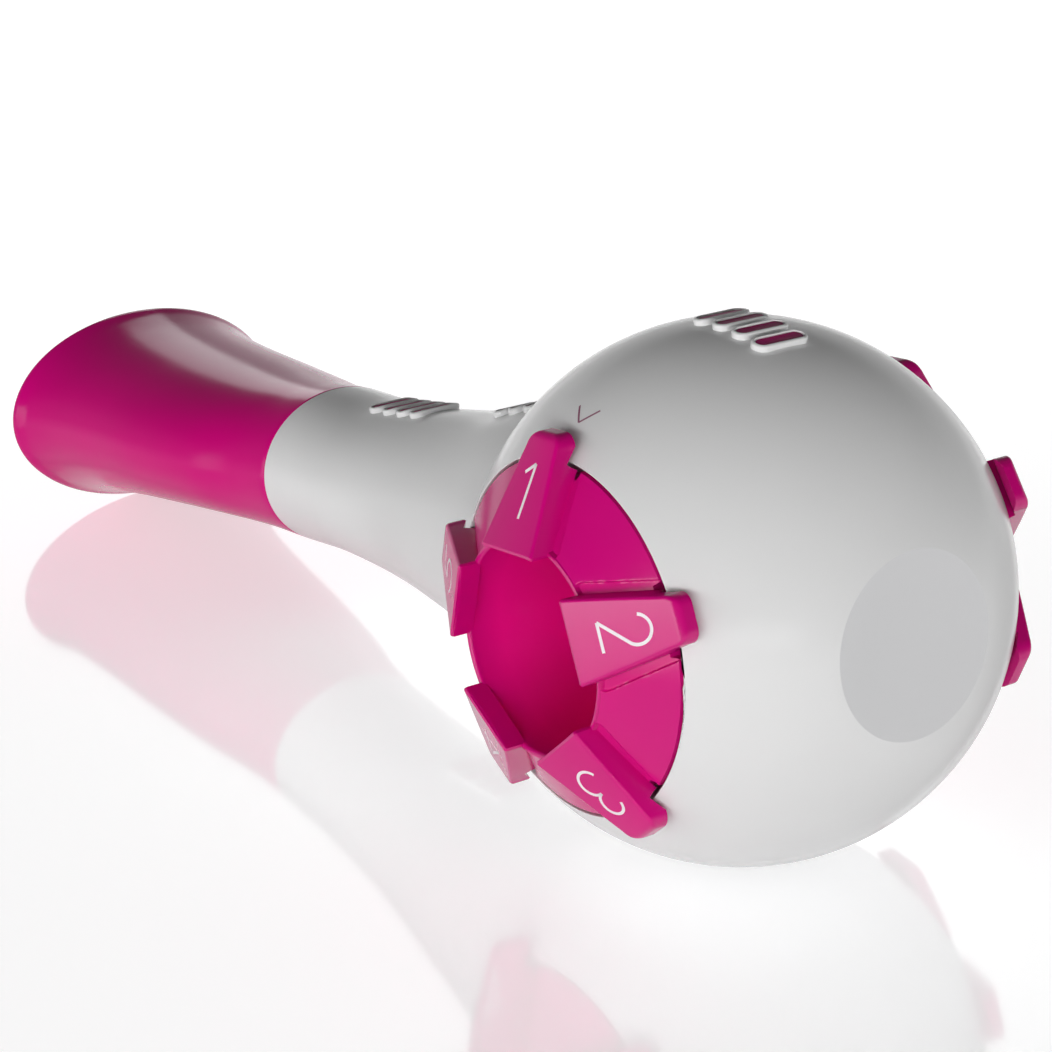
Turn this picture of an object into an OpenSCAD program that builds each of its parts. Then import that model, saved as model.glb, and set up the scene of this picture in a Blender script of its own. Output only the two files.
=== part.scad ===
// Breathing trainer: a hollow ball with an exhale dial on one side and an inhale dial on the
// other, a neck, and a pull-off mouthpiece. It lies on the ball and on the mouthpiece's lip.

/* [Ball] */
// Outer radius of the ball
ball_r = 26; // [25.6:0.2:28]
// Thickness of the housing's wall
wall = 2; // [1.6:0.1:2.2]
// Depth of the flat at the back of the ball
flat_depth = 1.5; // [1.3:0.05:1.7]
// Height of the locating pegs between the two housing halves
peg_len = 3; // [2:0.5:4]

/* [Neck] */
// Distance from the ball's centre to the seam of the mouthpiece
neck_len = 71.4; // [66:0.2:78]
// Width of the neck at the seam
neck_w = 21; // [20:0.2:23]
// Height of the neck at the seam
neck_h = 17.8; // [17:0.2:20]
// Radius of the neck where it leaves the ball
root_r = 14.5; // [14:0.1:15]
// Radius of the hollow blend from the ball into the neck
blend_r = 7.8; // [7:0.2:9]

/* [Mouthpiece] */
// Length of the mouthpiece from its seam to its lip
mouth_len = 50; // [46:0.5:56]
// Width across the lip
lip_w = 36.4; // [33:0.2:39]
// Height across the lip
lip_h = 23.4; // [22:0.2:26]
// Thickness of the mouthpiece's wall
sleeve_wall = 1.8; // [1.5:0.1:2]
// Length of the spigot that carries the mouthpiece
spigot_len = 13; // [10:0.5:16]
// Thickness of the spigot's wall
spigot_wall = 1.6; // [1.4:0.1:1.8]

/* [Exhale dial] */
// Radius of the opening in the ball
exhale_opening_r = 16.8; // [16.6:0.1:17.2]
// Radius of the dial's bore
exhale_bore_r = 9.9; // [9.5:0.1:10.1]
// Distance from the ball's centre to the floor of the dial's bore
exhale_floor_out = 9.6; // [9.5:0.1:10.6]
// Number of settings
exhale_settings = 5; // [3:1:5]
// Distance that the lugs reach past the opening
exhale_lug_reach = 2.5; // [1.5:0.1:3]
// Height of a lug's tip over the ball
exhale_tip_rise = 3.4; // [2.8:0.1:3.8]
// Width of a lug at the bore
exhale_lug_w = 8; // [6.5:0.1:9]
// Width of a lug at its tip
exhale_tip_w = 4.6; // [3.6:0.1:5.6]
// Diameter of the widest of the graded holes
exhale_hole_d = 5.6; // [4.8:0.1:5.8]
// Step in diameter from one graded hole to the next
exhale_hole_step = 0.8; // [0.4:0.1:0.9]

/* [Inhale dial] */
// Radius of the opening in the ball
inhale_opening_r = 16.4; // [16:0.1:16.8]
// Radius of the dial's bore
inhale_bore_r = 9.6; // [9.3:0.1:9.8]
// Distance from the ball's centre to the floor of the dial's bore
inhale_floor_out = 13; // [12.6:0.1:13.4]
// Number of settings
inhale_settings = 6; // [4:1:6]
// Distance that the lugs reach past the opening
inhale_lug_reach = 2.3; // [1.5:0.1:3]
// Height of a lug's tip over the ball
inhale_tip_rise = 3; // [2.6:0.1:3.4]
// Width of a lug at the bore
inhale_lug_w = 7.8; // [6.4:0.1:8.2]
// Width of a lug at its tip
inhale_tip_w = 5.4; // [4:0.1:5.8]
// Diameter of the widest of the graded holes
inhale_hole_d = 4.6; // [4:0.1:4.8]
// Step in diameter from one graded hole to the next
inhale_hole_step = 0.5; // [0.3:0.1:0.6]

/* [Both dials] */
// Distance that the rim of a dial's bore lies inside the ball's radius
rim_drop = 1.9; // [1.6:0.1:2.4]
// Height of the lugs over that rim
lug_h = 1.7; // [1.3:0.1:2.2]
// Thickness of a dial's tube
tube_wall = 1.3; // [1.1:0.1:1.5]
// Thickness of a dial's sloping skirt
skirt_wall = 1.2; // [0.9:0.1:1.3]
// Thickness of a dial's floor
floor_wall = 1.6; // [1.3:0.1:1.8]
// Gap around a dial in the opening
dial_gap = 0.3; // [0.2:0.05:0.5]
// Gap between a lug's tip and the ball
lug_gap = 0.6; // [0.4:0.05:0.9]
// Radial running clearance of a dial's tube
run_gap = 0.08; // [0.06:0.01:0.1]

/* [Valves] */
// Thickness of the plate that carries the fixed port
port_wall = 1.5; // [1.3:0.1:1.7]
// Thickness of a valve seat
seat_wall = 1.5; // [1.2:0.1:1.6]
// Thickness of a silicone valve disc
disc_t = 0.8; // [0.6:0.05:0.9]
// Lift of a valve disc
valve_lift = 1; // [0.8:0.05:1.1]
// Radius of the guide peg of a valve
guide_peg_r = 1.4; // [1.2:0.1:1.5]
// Number of air holes in a valve seat
seat_holes = 6; // [4:1:7]
// Radius of an air hole in a valve seat
seat_hole_r = 1.7; // [1.4:0.1:1.8]

/* [Grip ribs] */
// Number of ribs in a group
rib_count = 4; // [3:1:5]
// Distance from one rib to the next
rib_pitch = 2.75; // [2.6:0.05:3]
// Length of a rib
rib_len = 6; // [5:0.1:7]
// Width of a rib
rib_w = 2.1; // [1.8:0.05:2.3]
// Height of a rib over the surface
rib_h = 0.6; // [0.4:0.05:0.8]
// Thickness of the white rim round a rib's inlay
rib_rim = 0.35; // [0.3:0.05:0.45]

/* [Hidden] */

// Facets of round surfaces that stay true circles, and sides of the oval lofts
$fn = 96;
sides = 64;
// One overrun for all cuts
over = 1;
// Clearance between fixed pieces that are fitted into each other
fit = 0.05;
// Clearance of a sliding or seated face
seat_gap = 0.1;

// The two sides of the ball
exhale = 1;
inhale = -1;
function pick(side, out_value, in_value) = side == exhale ? out_value : in_value;
function opening_r(side) = pick(side, exhale_opening_r, inhale_opening_r);
function bore_r(side) = pick(side, exhale_bore_r, inhale_bore_r);
function floor_u(side) = pick(side, exhale_floor_out, inhale_floor_out);
function settings(side) = pick(side, exhale_settings, inhale_settings);
function lug_w(side) = pick(side, exhale_lug_w, inhale_lug_w);
function tip_w(side) = pick(side, exhale_tip_w, inhale_tip_w);
function tip_rise(side) = pick(side, exhale_tip_rise, inhale_tip_rise);
function tip_r(side) = opening_r(side) + pick(side, exhale_lug_reach, inhale_lug_reach);
function hole_d(side) = pick(side, exhale_hole_d, inhale_hole_d);
function hole_step(side) = pick(side, exhale_hole_step, inhale_hole_step);

// Height of a sphere's surface over its middle plane, at radius r from the dial's axis
function dome(sphere_r, r) = sqrt(pow(sphere_r, 2) - pow(r, 2));

// Inside of the ball, and the place of the flat
inner_r = ball_r - wall;
flat_x = ball_r - flat_depth;
flat_r = dome(ball_r, flat_x);

// Values of a dial, outward from the ball's centre
rim_out = ball_r - rim_drop;
function edge_r(side) = opening_r(side) - dial_gap;
function edge_u(side) = dome(ball_r, opening_r(side));
function tube_r(side) = bore_r(side) + tube_wall;
rim_bevel = tube_wall / 4;
function cone_start(side) = bore_r(side) + rim_bevel;
function cone_slope(side) = (rim_out - edge_u(side)) / (edge_r(side) - cone_start(side));
function cone_u(side, r) = rim_out - (r - cone_start(side)) * cone_slope(side);
lug_top = rim_out + lug_h;
function tip_top(side) = dome(ball_r, tip_r(side)) + tip_rise(side);
function lug_slope(side) = (lug_top - tip_top(side)) / (tip_r(side) - bore_r(side));
tip_round = lug_h / 3;
corner_share = 0.28;
function corner_r(side) = tip_w(side) * corner_share;
tray_w = lug_h / 2;
tray_depth_share = 0.3;
tray_depth = skirt_wall * tray_depth_share;
tray_start_share = 0.6;
lug_inset = 0.2;
lug_ledge = 0.1;

// Axle, click stop and graded holes
axle_r = 1.5;
axle_gap = 0.06;
thread_r = 1;
boss_len = 1.5;
head_r = 2.2;
head_t = 1.2;
socket_r = 1.2;
washer_t = 0.4;
click_ball_r = 0.75;
click_pocket_r = click_ball_r + fit;
click_spring_len = 1.5;
click_spring_share = 0.7;
click_depth = click_ball_r * 2 + click_spring_len;
dimple_depth = 0.4;
function click_r(side) = bore_r(side) + tube_wall / 4;
function hole_circle_r(side) = (bore_r(side) + head_r) / 2 - fit;
function port_r(side) = hole_d(side) / 2 + seat_gap;

// Cartridge: bearing bore, seal groove, flange over the housing's shelf, collar under it
seal_r = 0.5;
guide_wall = 2.2;
flange_reach = 1.2;
flange_t = 0.9;
collar_t = 1;
gasket_t = 0.4;
shelf_t = 1.5;
shelf_rise = 0.2;
function guide_r(side) = tube_r(side) + run_gap;
function barrel_r(side) = tube_r(side) + guide_wall;
function flange_r(side) = barrel_r(side) + flange_reach;
function shelf_u(side) = dome(inner_r, opening_r(side)) + shelf_rise;
function seal_u(side) = (floor_u(side) + shelf_u(side) - shelf_t - collar_t) / 2;
function port_u(side) = floor_u(side) - floor_wall - seat_gap;
function plate_u(side) = port_u(side) - port_wall;
function boss_u(side) = plate_u(side) - boss_len;
function cup_bore_r(side) = bore_r(side) - tube_wall / 2;

// Valves: the exhale disc lies on the outer face of its seat, the inhale disc on the inner
disc_gap = 1.2;
seat_ledge = 0.6;
rim_margin = 0.6;
peg_gap = 0.1;
cap_t = 1;
cap_reach = 1.2;
exhale_stack = valve_lift + disc_t + fit;
function seat_u(side) = boss_u(side) - seat_gap * 2 - pick(side, exhale_stack, 0);
function seat_foot(side) = seat_u(side) - seat_wall;
function disc_r(side) = cup_bore_r(side) - disc_gap;
function seat_circle_r(side) = disc_r(side) - seat_hole_r - rim_margin;
function disc_u(side) = pick(side, seat_u(side) + fit, seat_foot(side) - fit - disc_t);
guide_len = disc_t + valve_lift + seat_gap;
cap_u = disc_u(-1) - valve_lift - seat_gap - cap_t;

// Locating pegs between the halves, beside the end cap
peg_r = 1.2;
peg_boss_r = 2.4;
peg_share = 0.8;
peg_x = -inner_r * peg_share;
peg_y = dome(inner_r, peg_x) - peg_r / 2;

// Outline of the neck: share of its length, then how much of the way from the seam's size
// to the root's size the width and the height still have to go
neck_shares = [
    [0, 1, 1], [0.12, 0.81, 0.8], [0.31, 0.53, 0.41],
    [0.53, 0.17, 0.14], [0.78, 0.06, -0.04], [1, 0, 0]
];
// Outline of the mouthpiece: share of its length, then how far the width and the height
// have gone from the seam's size to the lip's size
mouth_shares = [
    [0, 0, 0], [0.13, 0.14, -0.14], [0.29, 0.39, -0.17], [0.5, 0.58, -0.03],
    [0.7, 0.68, 0.21], [0.86, 0.78, 0.5], [0.96, 0.9, 0.8], [1, 1, 1]
];
neck_steps = 15;
neck_bore_steps = 8;
mouth_steps = 18;
bead_steps = 6;
root_tilt = 11;

// Blend circle between the ball and the neck: tangent to the ball, and to a line that
// leaves the root at the root tilt
blend_out = root_r + blend_r * cos(root_tilt);
blend_x = dome(ball_r + blend_r, blend_out);
root_x = blend_x - blend_r * sin(root_tilt);
touch_x = blend_x * ball_r / (ball_r + blend_r);
touch_r = blend_out * ball_r / (ball_r + blend_r);

// Sections of the spigot and of the socket that it fills
spigot_a = neck_w / 2 - sleeve_wall - fit;
spigot_b = neck_h / 2 - sleeve_wall - fit;
duct_a = spigot_a - spigot_wall;
duct_b = spigot_b - spigot_wall;
spigot_end = neck_len + spigot_len;
band_w = 3;
band_t = 0.7;
band_x = neck_len + spigot_len / 2;

// Plug of the neck: its foot stands on the ball's cut face, and its flange lies behind
touch_turn = asin(blend_x / (ball_r + blend_r));
blend_steps = 6;
plug_r = dome(inner_r, touch_x) - seat_gap;
plug_bore_r = plug_r - spigot_wall;
plug_lip = 0.7;
plug_flange_r = plug_r + plug_lip;
plug_flange_t = 1.2;
plug_x = dome(inner_r, plug_flange_r) - fit;

// Mouthpiece: lip bead with half the wall as its radius
bead_r = sleeve_wall / 2;
lip_x = neck_len + mouth_len - bead_r;

// Pose: the mouthpiece's lip is lowered until it stands on the same plane as the ball
lip_reach = norm([lip_x, lip_h / 2]);
tilt = asin(ball_r / lip_reach) - atan2(lip_h / 2, lip_x);

// Smooth value of column c of a table at t, along cubic arcs through its rows
function row_slope(tab, i, c) =
    let (lo = max(i - 1, 0), hi = min(i + 1, len(tab) - 1))
    (tab[hi][c] - tab[lo][c]) / (tab[hi][0] - tab[lo][0]);
function row_at(tab, t, i = 0) =
    (i >= len(tab) - 2 || t <= tab[i + 1][0]) ? i : row_at(tab, t, i + 1);
function smooth(tab, t, c) =
    let (
        i = row_at(tab, t),
        h = tab[i + 1][0] - tab[i][0],
        u = (t - tab[i][0]) / h,
        rise = tab[i + 1][c] - tab[i][c],
        turn = h * (1 - u) * (row_slope(tab, i, c) * (1 - u) - row_slope(tab, i + 1, c) * u)
    )
    tab[i][c] + u * u * (3 - 2 * u) * rise + u * turn;

// Sections [x, half width, half height] of the neck and of the mouthpiece, grown by g
function neck_section(t, g) = [
    root_x + t * (neck_len - root_x),
    neck_w / 2 + smooth(neck_shares, t, 1) * (root_r - neck_w / 2) + g,
    neck_h / 2 + smooth(neck_shares, t, 2) * (root_r - neck_h / 2) + g
];
function mouth_section(t, g) = [
    neck_len + t * (lip_x - neck_len),
    neck_w / 2 + smooth(mouth_shares, t, 1) * (lip_w - neck_w) / 2 + g,
    neck_h / 2 + smooth(mouth_shares, t, 2) * (lip_h - neck_h) / 2 + g
];

// Section of the hollow blend, from the cut face at t = 0 to the root at t = 1
function blend_section(t) =
    let (
        turn = touch_turn + t * (root_tilt - touch_turn),
        r = blend_out - blend_r * cos(turn)
    )
    [blend_x - blend_r * sin(turn), r, r];

// Rings of the neck: out along its skin, round the spigot and its groove, back along its bore
neck_rings = concat(
    [[touch_x, plug_r, plug_r]],
    [for (i = [0 : blend_steps - 1]) blend_section(i / blend_steps)],
    [for (i = [0 : neck_steps]) neck_section(i / neck_steps, 0)],
    [[neck_len, spigot_a, spigot_b],
     [band_x - band_w / 2, spigot_a, spigot_b],
     [band_x - band_w / 2, spigot_a - band_t, spigot_b - band_t],
     [band_x + band_w / 2, spigot_a - band_t, spigot_b - band_t],
     [band_x + band_w / 2, spigot_a, spigot_b],
     [spigot_end, spigot_a, spigot_b],
     [spigot_end, duct_a, duct_b],
     [neck_len - wall, duct_a, duct_b]],
    [for (i = [neck_bore_steps - 1 : -1 : 1]) neck_section(i / neck_bore_steps, -wall)],
    [[root_x, plug_bore_r, plug_bore_r],
     [plug_x - plug_flange_t, plug_bore_r, plug_bore_r],
     [plug_x - plug_flange_t, plug_flange_r, plug_flange_r],
     [plug_x, plug_flange_r, plug_flange_r],
     [plug_x, plug_r, plug_r]]
);

// Rings of the mouthpiece: out along its skin, round the lip's bead, back along its bore
function bead_section(turn) = [
    lip_x + bead_r * cos(turn),
    lip_w / 2 - bead_r + bead_r * sin(turn),
    lip_h / 2 - bead_r + bead_r * sin(turn)
];
mouth_bore_share = (spigot_len + sleeve_wall) / (lip_x - neck_len);
mouth_rings = concat(
    [mouth_section(0, 0) + [seat_gap, 0, 0]],
    [for (i = [1 : mouth_steps]) mouth_section(i / mouth_steps, 0)],
    [for (i = [1 : bead_steps - 1]) bead_section(90 - 180 * i / bead_steps)],
    [for (i = [0 : mouth_steps / 2])
        mouth_section(1 - i * (1 - mouth_bore_share) / (mouth_steps / 2), -sleeve_wall)],
    [[spigot_end + seat_gap, duct_a, duct_b],
     [spigot_end + seat_gap, spigot_a + fit, spigot_b + fit],
     [neck_len + seat_gap, spigot_a + fit, spigot_b + fit]]
);

// Reach of the lying part along its length, so that its box can be centred on the origin
lying_max = max([for (r = mouth_rings) r[0] * cos(tilt) + r[2] * sin(tilt)]);
lying_min = -flat_x * cos(tilt) - flat_r * sin(tilt);
centre_x = -(lying_max + lying_min) / 2;

// Frames: the lying part, one side with its dial axis along +Z, and the neck's axis
module lying() {
    translate([centre_x, 0, ball_r])
        rotate([0, tilt, 0])
            children();
}
module facing(side) {
    rotate([side == exhale ? -90 : 90, 0, 0])
        rotate([0, 0, side == exhale ? 180 : 0])
            children();
}

// Small round bodies
module disc_at(r, u, t) {
    translate([0, 0, u])
        cylinder(r = r, h = t);
}
module ring_at(r_out, r_in, u, t) {
    difference() {
        disc_at(r_out, u, t);
        disc_at(r_in, u - over, t + over * 2);
    }
}

// Hollow oval solid: rings [x, half width, half height] on a closed path, skin to bore
module loft(rings) {
    n = sides;
    m = len(rings);
    points = [for (r = rings) for (k = [0 : n - 1])
        [r[0], r[1] * cos(360 * k / n), r[2] * sin(360 * k / n)]];
    faces = [for (i = [0 : m - 1]) for (k = [0 : n - 1])
        let (
            a = i * n + k,
            b = i * n + (k + 1) % n,
            c = ((i + 1) % m) * n + k,
            d = ((i + 1) % m) * n + (k + 1) % n
        )
        each [[a, c, d], [a, d, b]]];
    polyhedron(points = points, faces = faces);
}

// Stadium shape across the neck's axis: exact on the ball, drawn round on the neck
module stadium(len, w, h) {
    translate([-w / 2, -(len - w) / 2, 0])
        cube([w, len - w, h]);
    for (end = [-1, 1])
        translate([0, end * (len - w) / 2, 0])
            cylinder(d = w, h = h);
}
module round_pad(len, w, h) {
    hull()
        for (end = [-1, 1])
            translate([0, end * (len - w) / 2, 0])
                cylinder(d = w, h = h, $fn = 24);
}

// Grip groups: the ball's own group follows the sphere, and the others a crown on the neck
function skin_at(x) = neck_section((x - root_x) / (neck_len - root_x), 0);
function skin_tilt(x) = atan((skin_at(x + over)[2] - skin_at(x - over)[2]) / (over * 2));
function crown_r(x) = pow(skin_at(x)[1], 2) / skin_at(x)[2];
rib_span = rib_pitch * (rib_count - 1);
ball_grip_turn = -8;
neck_grip_share = 0.775;
neck_grip_x = neck_len * neck_grip_share;
shoulder_grip_share = 0.43;
shoulder_grip_x = neck_len * shoulder_grip_share;
under_grip_share = 0.6;
under_grip_x = neck_len * under_grip_share;
inlay_sink = 0.5;
inlay_drop = 0.12;

// Shapes of one group, shrunk by s all round, from d under the skin to h over it
module ball_ribs(s, h, d) {
    intersection() {
        rotate([0, ball_grip_turn, 0])
            for (i = [0 : rib_count - 1])
                translate([rib_pitch * i - rib_span / 2, 0, ball_r - d - rib_h])
                    stadium(rib_len - s * 2, rib_w - s * 2, rib_h * 2 + d + h);
        difference() {
            sphere(r = ball_r + h);
            sphere(r = ball_r - d);
        }
    }
}
module neck_ribs(x, up, s, h, d) {
    mirror([0, 0, up ? 0 : 1])
        translate([x, 0, skin_at(x)[2]])
            rotate([0, -skin_tilt(x), 0])
                intersection() {
                    for (i = [0 : rib_count - 1])
                        translate([rib_pitch * i - rib_span / 2, 0, -d - rib_h])
                            round_pad(rib_len - s * 2, rib_w - s * 2, rib_h * 2 + d + h);
                    translate([-rib_span, 0, -crown_r(x)])
                        rotate([0, 90, 0])
                            ring_at(crown_r(x) + h, crown_r(x) - d, 0, rib_span * 2);
                }
}

// The two halves of the ball
module port_shelf(side) {
    intersection() {
        facing(side)
            ring_at(inner_r, barrel_r(side) + fit, shelf_u(side) - shelf_t, shelf_t);
        sphere(r = inner_r + wall / 2);
    }
}
module peg_pair(r, low, high) {
    for (s = [-1, 1])
        translate([peg_x, s * peg_y, 0])
            disc_at(r, low, high - low);
}
module ball_shell(ribs) {
    difference() {
        union() {
            sphere(r = ball_r);
            if (ribs)
                ball_ribs(0, rib_h, inlay_sink);
        }
        sphere(r = inner_r);
        for (side = [exhale, inhale])
            facing(side)
                disc_at(opening_r(side), shelf_u(side), ball_r);
        rotate([0, 90, 0])
            disc_at(ball_r, touch_x, ball_r);
        rotate([0, -90, 0]) {
            disc_at(flat_r, inner_r / 2, ball_r);
            disc_at(ball_r, flat_x, ball_r);
        }
        if (ribs)
            ball_ribs(rib_rim, rib_h + rib_rim, inlay_sink - fit);
    }
    for (side = [exhale, inhale])
        port_shelf(side);
}
module ball_half(up) {
    difference() {
        intersection() {
            union() {
                ball_shell(up);
                intersection() {
                    peg_pair(peg_boss_r, -peg_len - wall, peg_len + wall);
                    sphere(r = inner_r + wall / 2);
                }
            }
            translate([-ball_r * 2, -ball_r * 2, up ? 0 : -ball_r * 2])
                cube([ball_r * 4, ball_r * 4, ball_r * 2]);
        }
        if (up)
            peg_pair(peg_r + fit, -over, peg_len + seat_gap);
    }
    if (!up)
        peg_pair(peg_r, -peg_len, peg_len);
}
module housing_upper() {
    color("whitesmoke")
        lying()
            ball_half(true);
}
module housing_lower() {
    color("whitesmoke")
        lying()
            ball_half(false);
}

// Neck with its plug, its spigot and the rims of its grip ribs
module neck() {
    color("whitesmoke")
        lying()
            difference() {
                union() {
                    loft(neck_rings);
                    neck_ribs(neck_grip_x, true, 0, rib_h, inlay_sink);
                    neck_ribs(shoulder_grip_x, true, 0, rib_h, inlay_sink);
                    neck_ribs(under_grip_x, false, 0, rib_h, inlay_sink);
                }
                neck_ribs(neck_grip_x, true, rib_rim, rib_h + rib_rim, inlay_sink - fit);
                neck_ribs(shoulder_grip_x, true, rib_rim, rib_h + rib_rim, inlay_sink - fit);
                neck_ribs(under_grip_x, false, rib_rim, rib_h + rib_rim, inlay_sink - fit);
            }
}

// Cap that fills the back opening flush with the flat, with a flange behind the wall
module end_cap() {
    back = dome(inner_r, flat_r + wall / 2) - fit;
    color("gainsboro")
        lying()
            rotate([0, -90, 0]) {
                disc_at(flat_r - fit, back - wall / 2, flat_x - back + wall / 2);
                disc_at(flat_r + wall / 2, back - wall / 2, wall / 2);
            }
}

// Cartridge: the fixed bearing of a dial, held by the housing's shelf between its flange
// and its collar. Its cup carries the valve seat.
module cartridge(side) {
    flange_u = shelf_u(side) + gasket_t;
    collar_u = shelf_u(side) - shelf_t - fit - collar_t;
    foot = seat_foot(side);
    color("white")
        lying() facing(side)
            difference() {
                union() {
                    disc_at(barrel_r(side), plate_u(side), flange_u + flange_t - plate_u(side));
                    disc_at(flange_r(side), flange_u, flange_t);
                    disc_at(flange_r(side), collar_u, collar_t);
                    disc_at(guide_r(side), foot, plate_u(side) - foot);
                }
                disc_at(guide_r(side), port_u(side), ball_r);
                ring_at(guide_r(side) + seal_r * 2, tube_r(side), seal_u(side) - seal_r - fit,
                    (seal_r + fit) * 2);
                difference() {
                    disc_at(cup_bore_r(side), foot - over, plate_u(side) - foot + over);
                    disc_at(thread_r + tube_wall, boss_u(side), ball_r);
                }
                disc_at(cup_bore_r(side) + seat_ledge, foot - over, seat_wall + over);
                translate([0, hole_circle_r(side), 0])
                    disc_at(port_r(side), plate_u(side) - over, port_wall + over * 2);
                disc_at(thread_r + fit, boss_u(side) - over, port_wall + boss_len + over * 2);
                translate([0, -click_r(side), 0])
                    disc_at(click_pocket_r, port_u(side) - click_depth, click_depth + over);
            }
}
module gasket(side) {
    color("dimgray")
        lying() facing(side)
            ring_at(flange_r(side), barrel_r(side) + fit, shelf_u(side), gasket_t);
}

// Valve seat, its silicone disc and, on the inhale side, the cap that keeps the disc
module valve_seat(side) {
    peg_u = pick(side, seat_u(side) - seat_wall / 2, cap_u);
    peg_end = pick(side, seat_u(side) + guide_len, seat_u(side) - seat_wall / 2);
    color("white")
        lying() facing(side) {
            difference() {
                disc_at(cup_bore_r(side) + seat_ledge - fit, seat_foot(side), seat_wall);
                for (k = [0 : seat_holes - 1])
                    rotate([0, 0, 360 * k / seat_holes])
                        translate([seat_circle_r(side), 0, 0])
                            disc_at(seat_hole_r, seat_foot(side) - over, seat_wall + over * 2);
            }
            disc_at(guide_peg_r, peg_u, peg_end - peg_u);
        }
}
module valve_disc(side) {
    color("lightsteelblue")
        lying() facing(side)
            ring_at(disc_r(side), guide_peg_r + peg_gap, disc_u(side), disc_t);
}
module inhale_valve_cap() {
    color("white")
        lying() facing(inhale)
            ring_at(guide_peg_r + cap_reach, guide_peg_r, cap_u, cap_t);
}

// Dial: skirt, tube and floor with its graded holes, and lugs with a shallow tray each
module dial_body(side) {
    under = cone_u(side, tube_r(side)) - skirt_wall;
    rotate_extrude()
        polygon([
            [axle_r + axle_gap, floor_u(side) - floor_wall],
            [tube_r(side), floor_u(side) - floor_wall],
            [tube_r(side), under],
            [edge_r(side), edge_u(side) - skirt_wall],
            [edge_r(side), edge_u(side)],
            [cone_start(side), rim_out],
            [bore_r(side), rim_out - rim_bevel],
            [bore_r(side), floor_u(side)],
            [axle_r + axle_gap, floor_u(side)]
        ]);
}
module lug_plan(side, grow) {
    half_in = lug_w(side) / 2 + grow;
    half_tip = tip_w(side) / 2 + grow;
    end = tip_r(side) + grow;
    round = corner_r(side) + grow;
    start = dome(bore_r(side), lug_w(side) / 2) - rim_bevel;
    arc = [for (a = [90 : -15 : 0])
        [end - round + round * cos(a), half_tip - round + round * sin(a)]];
    polygon(concat(
        [[start, half_in]],
        arc,
        [for (i = [len(arc) - 1 : -1 : 0]) [arc[i][0], -arc[i][1]]],
        [[start, -half_in]]
    ));
}
module lug_profile(side) {
    start = dome(bore_r(side), lug_w(side) / 2) - over;
    rise = (bore_r(side) - start) * lug_slope(side);
    foot = edge_r(side) - lug_inset;
    arc = [for (a = [90 - atan(lug_slope(side)) : -20 : 0])
        [tip_r(side) - tip_round * (1 - cos(a)), tip_top(side) - tip_round * (1 - sin(a))]];
    polygon(concat(
        [[start, lug_top + rise]],
        arc,
        [[tip_r(side), dome(ball_r, tip_r(side)) + lug_gap],
         [foot, dome(ball_r, foot) + lug_gap],
         [foot, edge_u(side) - skirt_wall / 2],
         [start, rim_out - skirt_wall / 2]]
    ));
}
module lug(side) {
    difference() {
        intersection() {
            rotate([90, 0, 0])
                linear_extrude(height = lug_w(side) * 2, center = true)
                    lug_profile(side);
            linear_extrude(height = ball_r * 2)
                lug_plan(side, 0);
        }
        disc_at(bore_r(side) + lug_ledge, 0, ball_r * 2);
    }
}
module lug_tray(side) {
    intersection() {
        linear_extrude(height = ball_r * 2)
            difference() {
                lug_plan(side, tray_w);
                circle(r = bore_r(side) + tray_w * tray_start_share);
            }
        rotate_extrude()
            polygon([
                [cone_start(side), rim_out - tray_depth],
                [edge_r(side) + over, cone_u(side, edge_r(side) + over) - tray_depth],
                [edge_r(side) + over, rim_out],
                [cone_start(side), rim_out]
            ]);
    }
}
module rim_notch(side) {
    intersection() {
        linear_extrude(height = ball_r * 2)
            lug_plan(side, tray_w);
        ring_at(edge_r(side) + over, edge_r(side) - tray_w, edge_u(side) - skirt_wall * 2, ball_r);
    }
}
module dial(side) {
    n = settings(side);
    turns = [for (k = [0 : n - 1]) 90 - 360 * k / n];
    color("mediumvioletred")
        lying() facing(side) {
            difference() {
                dial_body(side);
                for (k = [0 : n - 1])
                    rotate([0, 0, turns[k]]) {
                        lug_tray(side);
                        rim_notch(side);
                        translate([hole_circle_r(side), 0, 0])
                            disc_at(hole_d(side) / 2 - k * hole_step(side) / 2,
                                floor_u(side) - floor_wall - over, floor_wall + over * 2);
                        translate([-click_r(side), 0, floor_u(side) - floor_wall])
                            sphere(r = dimple_depth);
                    }
            }
            for (turn = turns)
                rotate([0, 0, turn])
                    lug(side);
        }
}
module dial_seal(side) {
    color("dimgray")
        lying() facing(side)
            translate([0, 0, seal_u(side)])
                rotate_extrude()
                    translate([guide_r(side) - fit + seal_r, 0])
                        circle(r = seal_r);
}

// Axle screw with its spring washer, and the click stop under the dial's floor
module axle_screw(side) {
    head_u = floor_u(side) + washer_t + fit * 2;
    color("silver")
        lying() facing(side)
            difference() {
                union() {
                    disc_at(thread_r, boss_u(side), head_u - boss_u(side));
                    disc_at(axle_r, port_u(side), head_u - port_u(side));
                    disc_at(head_r, head_u, head_t);
                }
                translate([0, 0, head_u + head_t / 2])
                    cylinder(r = socket_r, h = head_t, $fn = 6);
            }
}
module spring_washer(side) {
    color("silver")
        lying() facing(side)
            ring_at(head_r, axle_r + fit, floor_u(side) + fit, washer_t);
}
module click_ball(side) {
    color("silver")
        lying() facing(side)
            translate([0, -click_r(side), port_u(side) - click_ball_r])
                sphere(r = click_ball_r);
}
module click_spring(side) {
    color("silver")
        lying() facing(side)
            translate([0, -click_r(side), 0])
                ring_at(click_ball_r, click_ball_r * click_spring_share, port_u(side) - click_depth,
                    click_spring_len);
}

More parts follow.
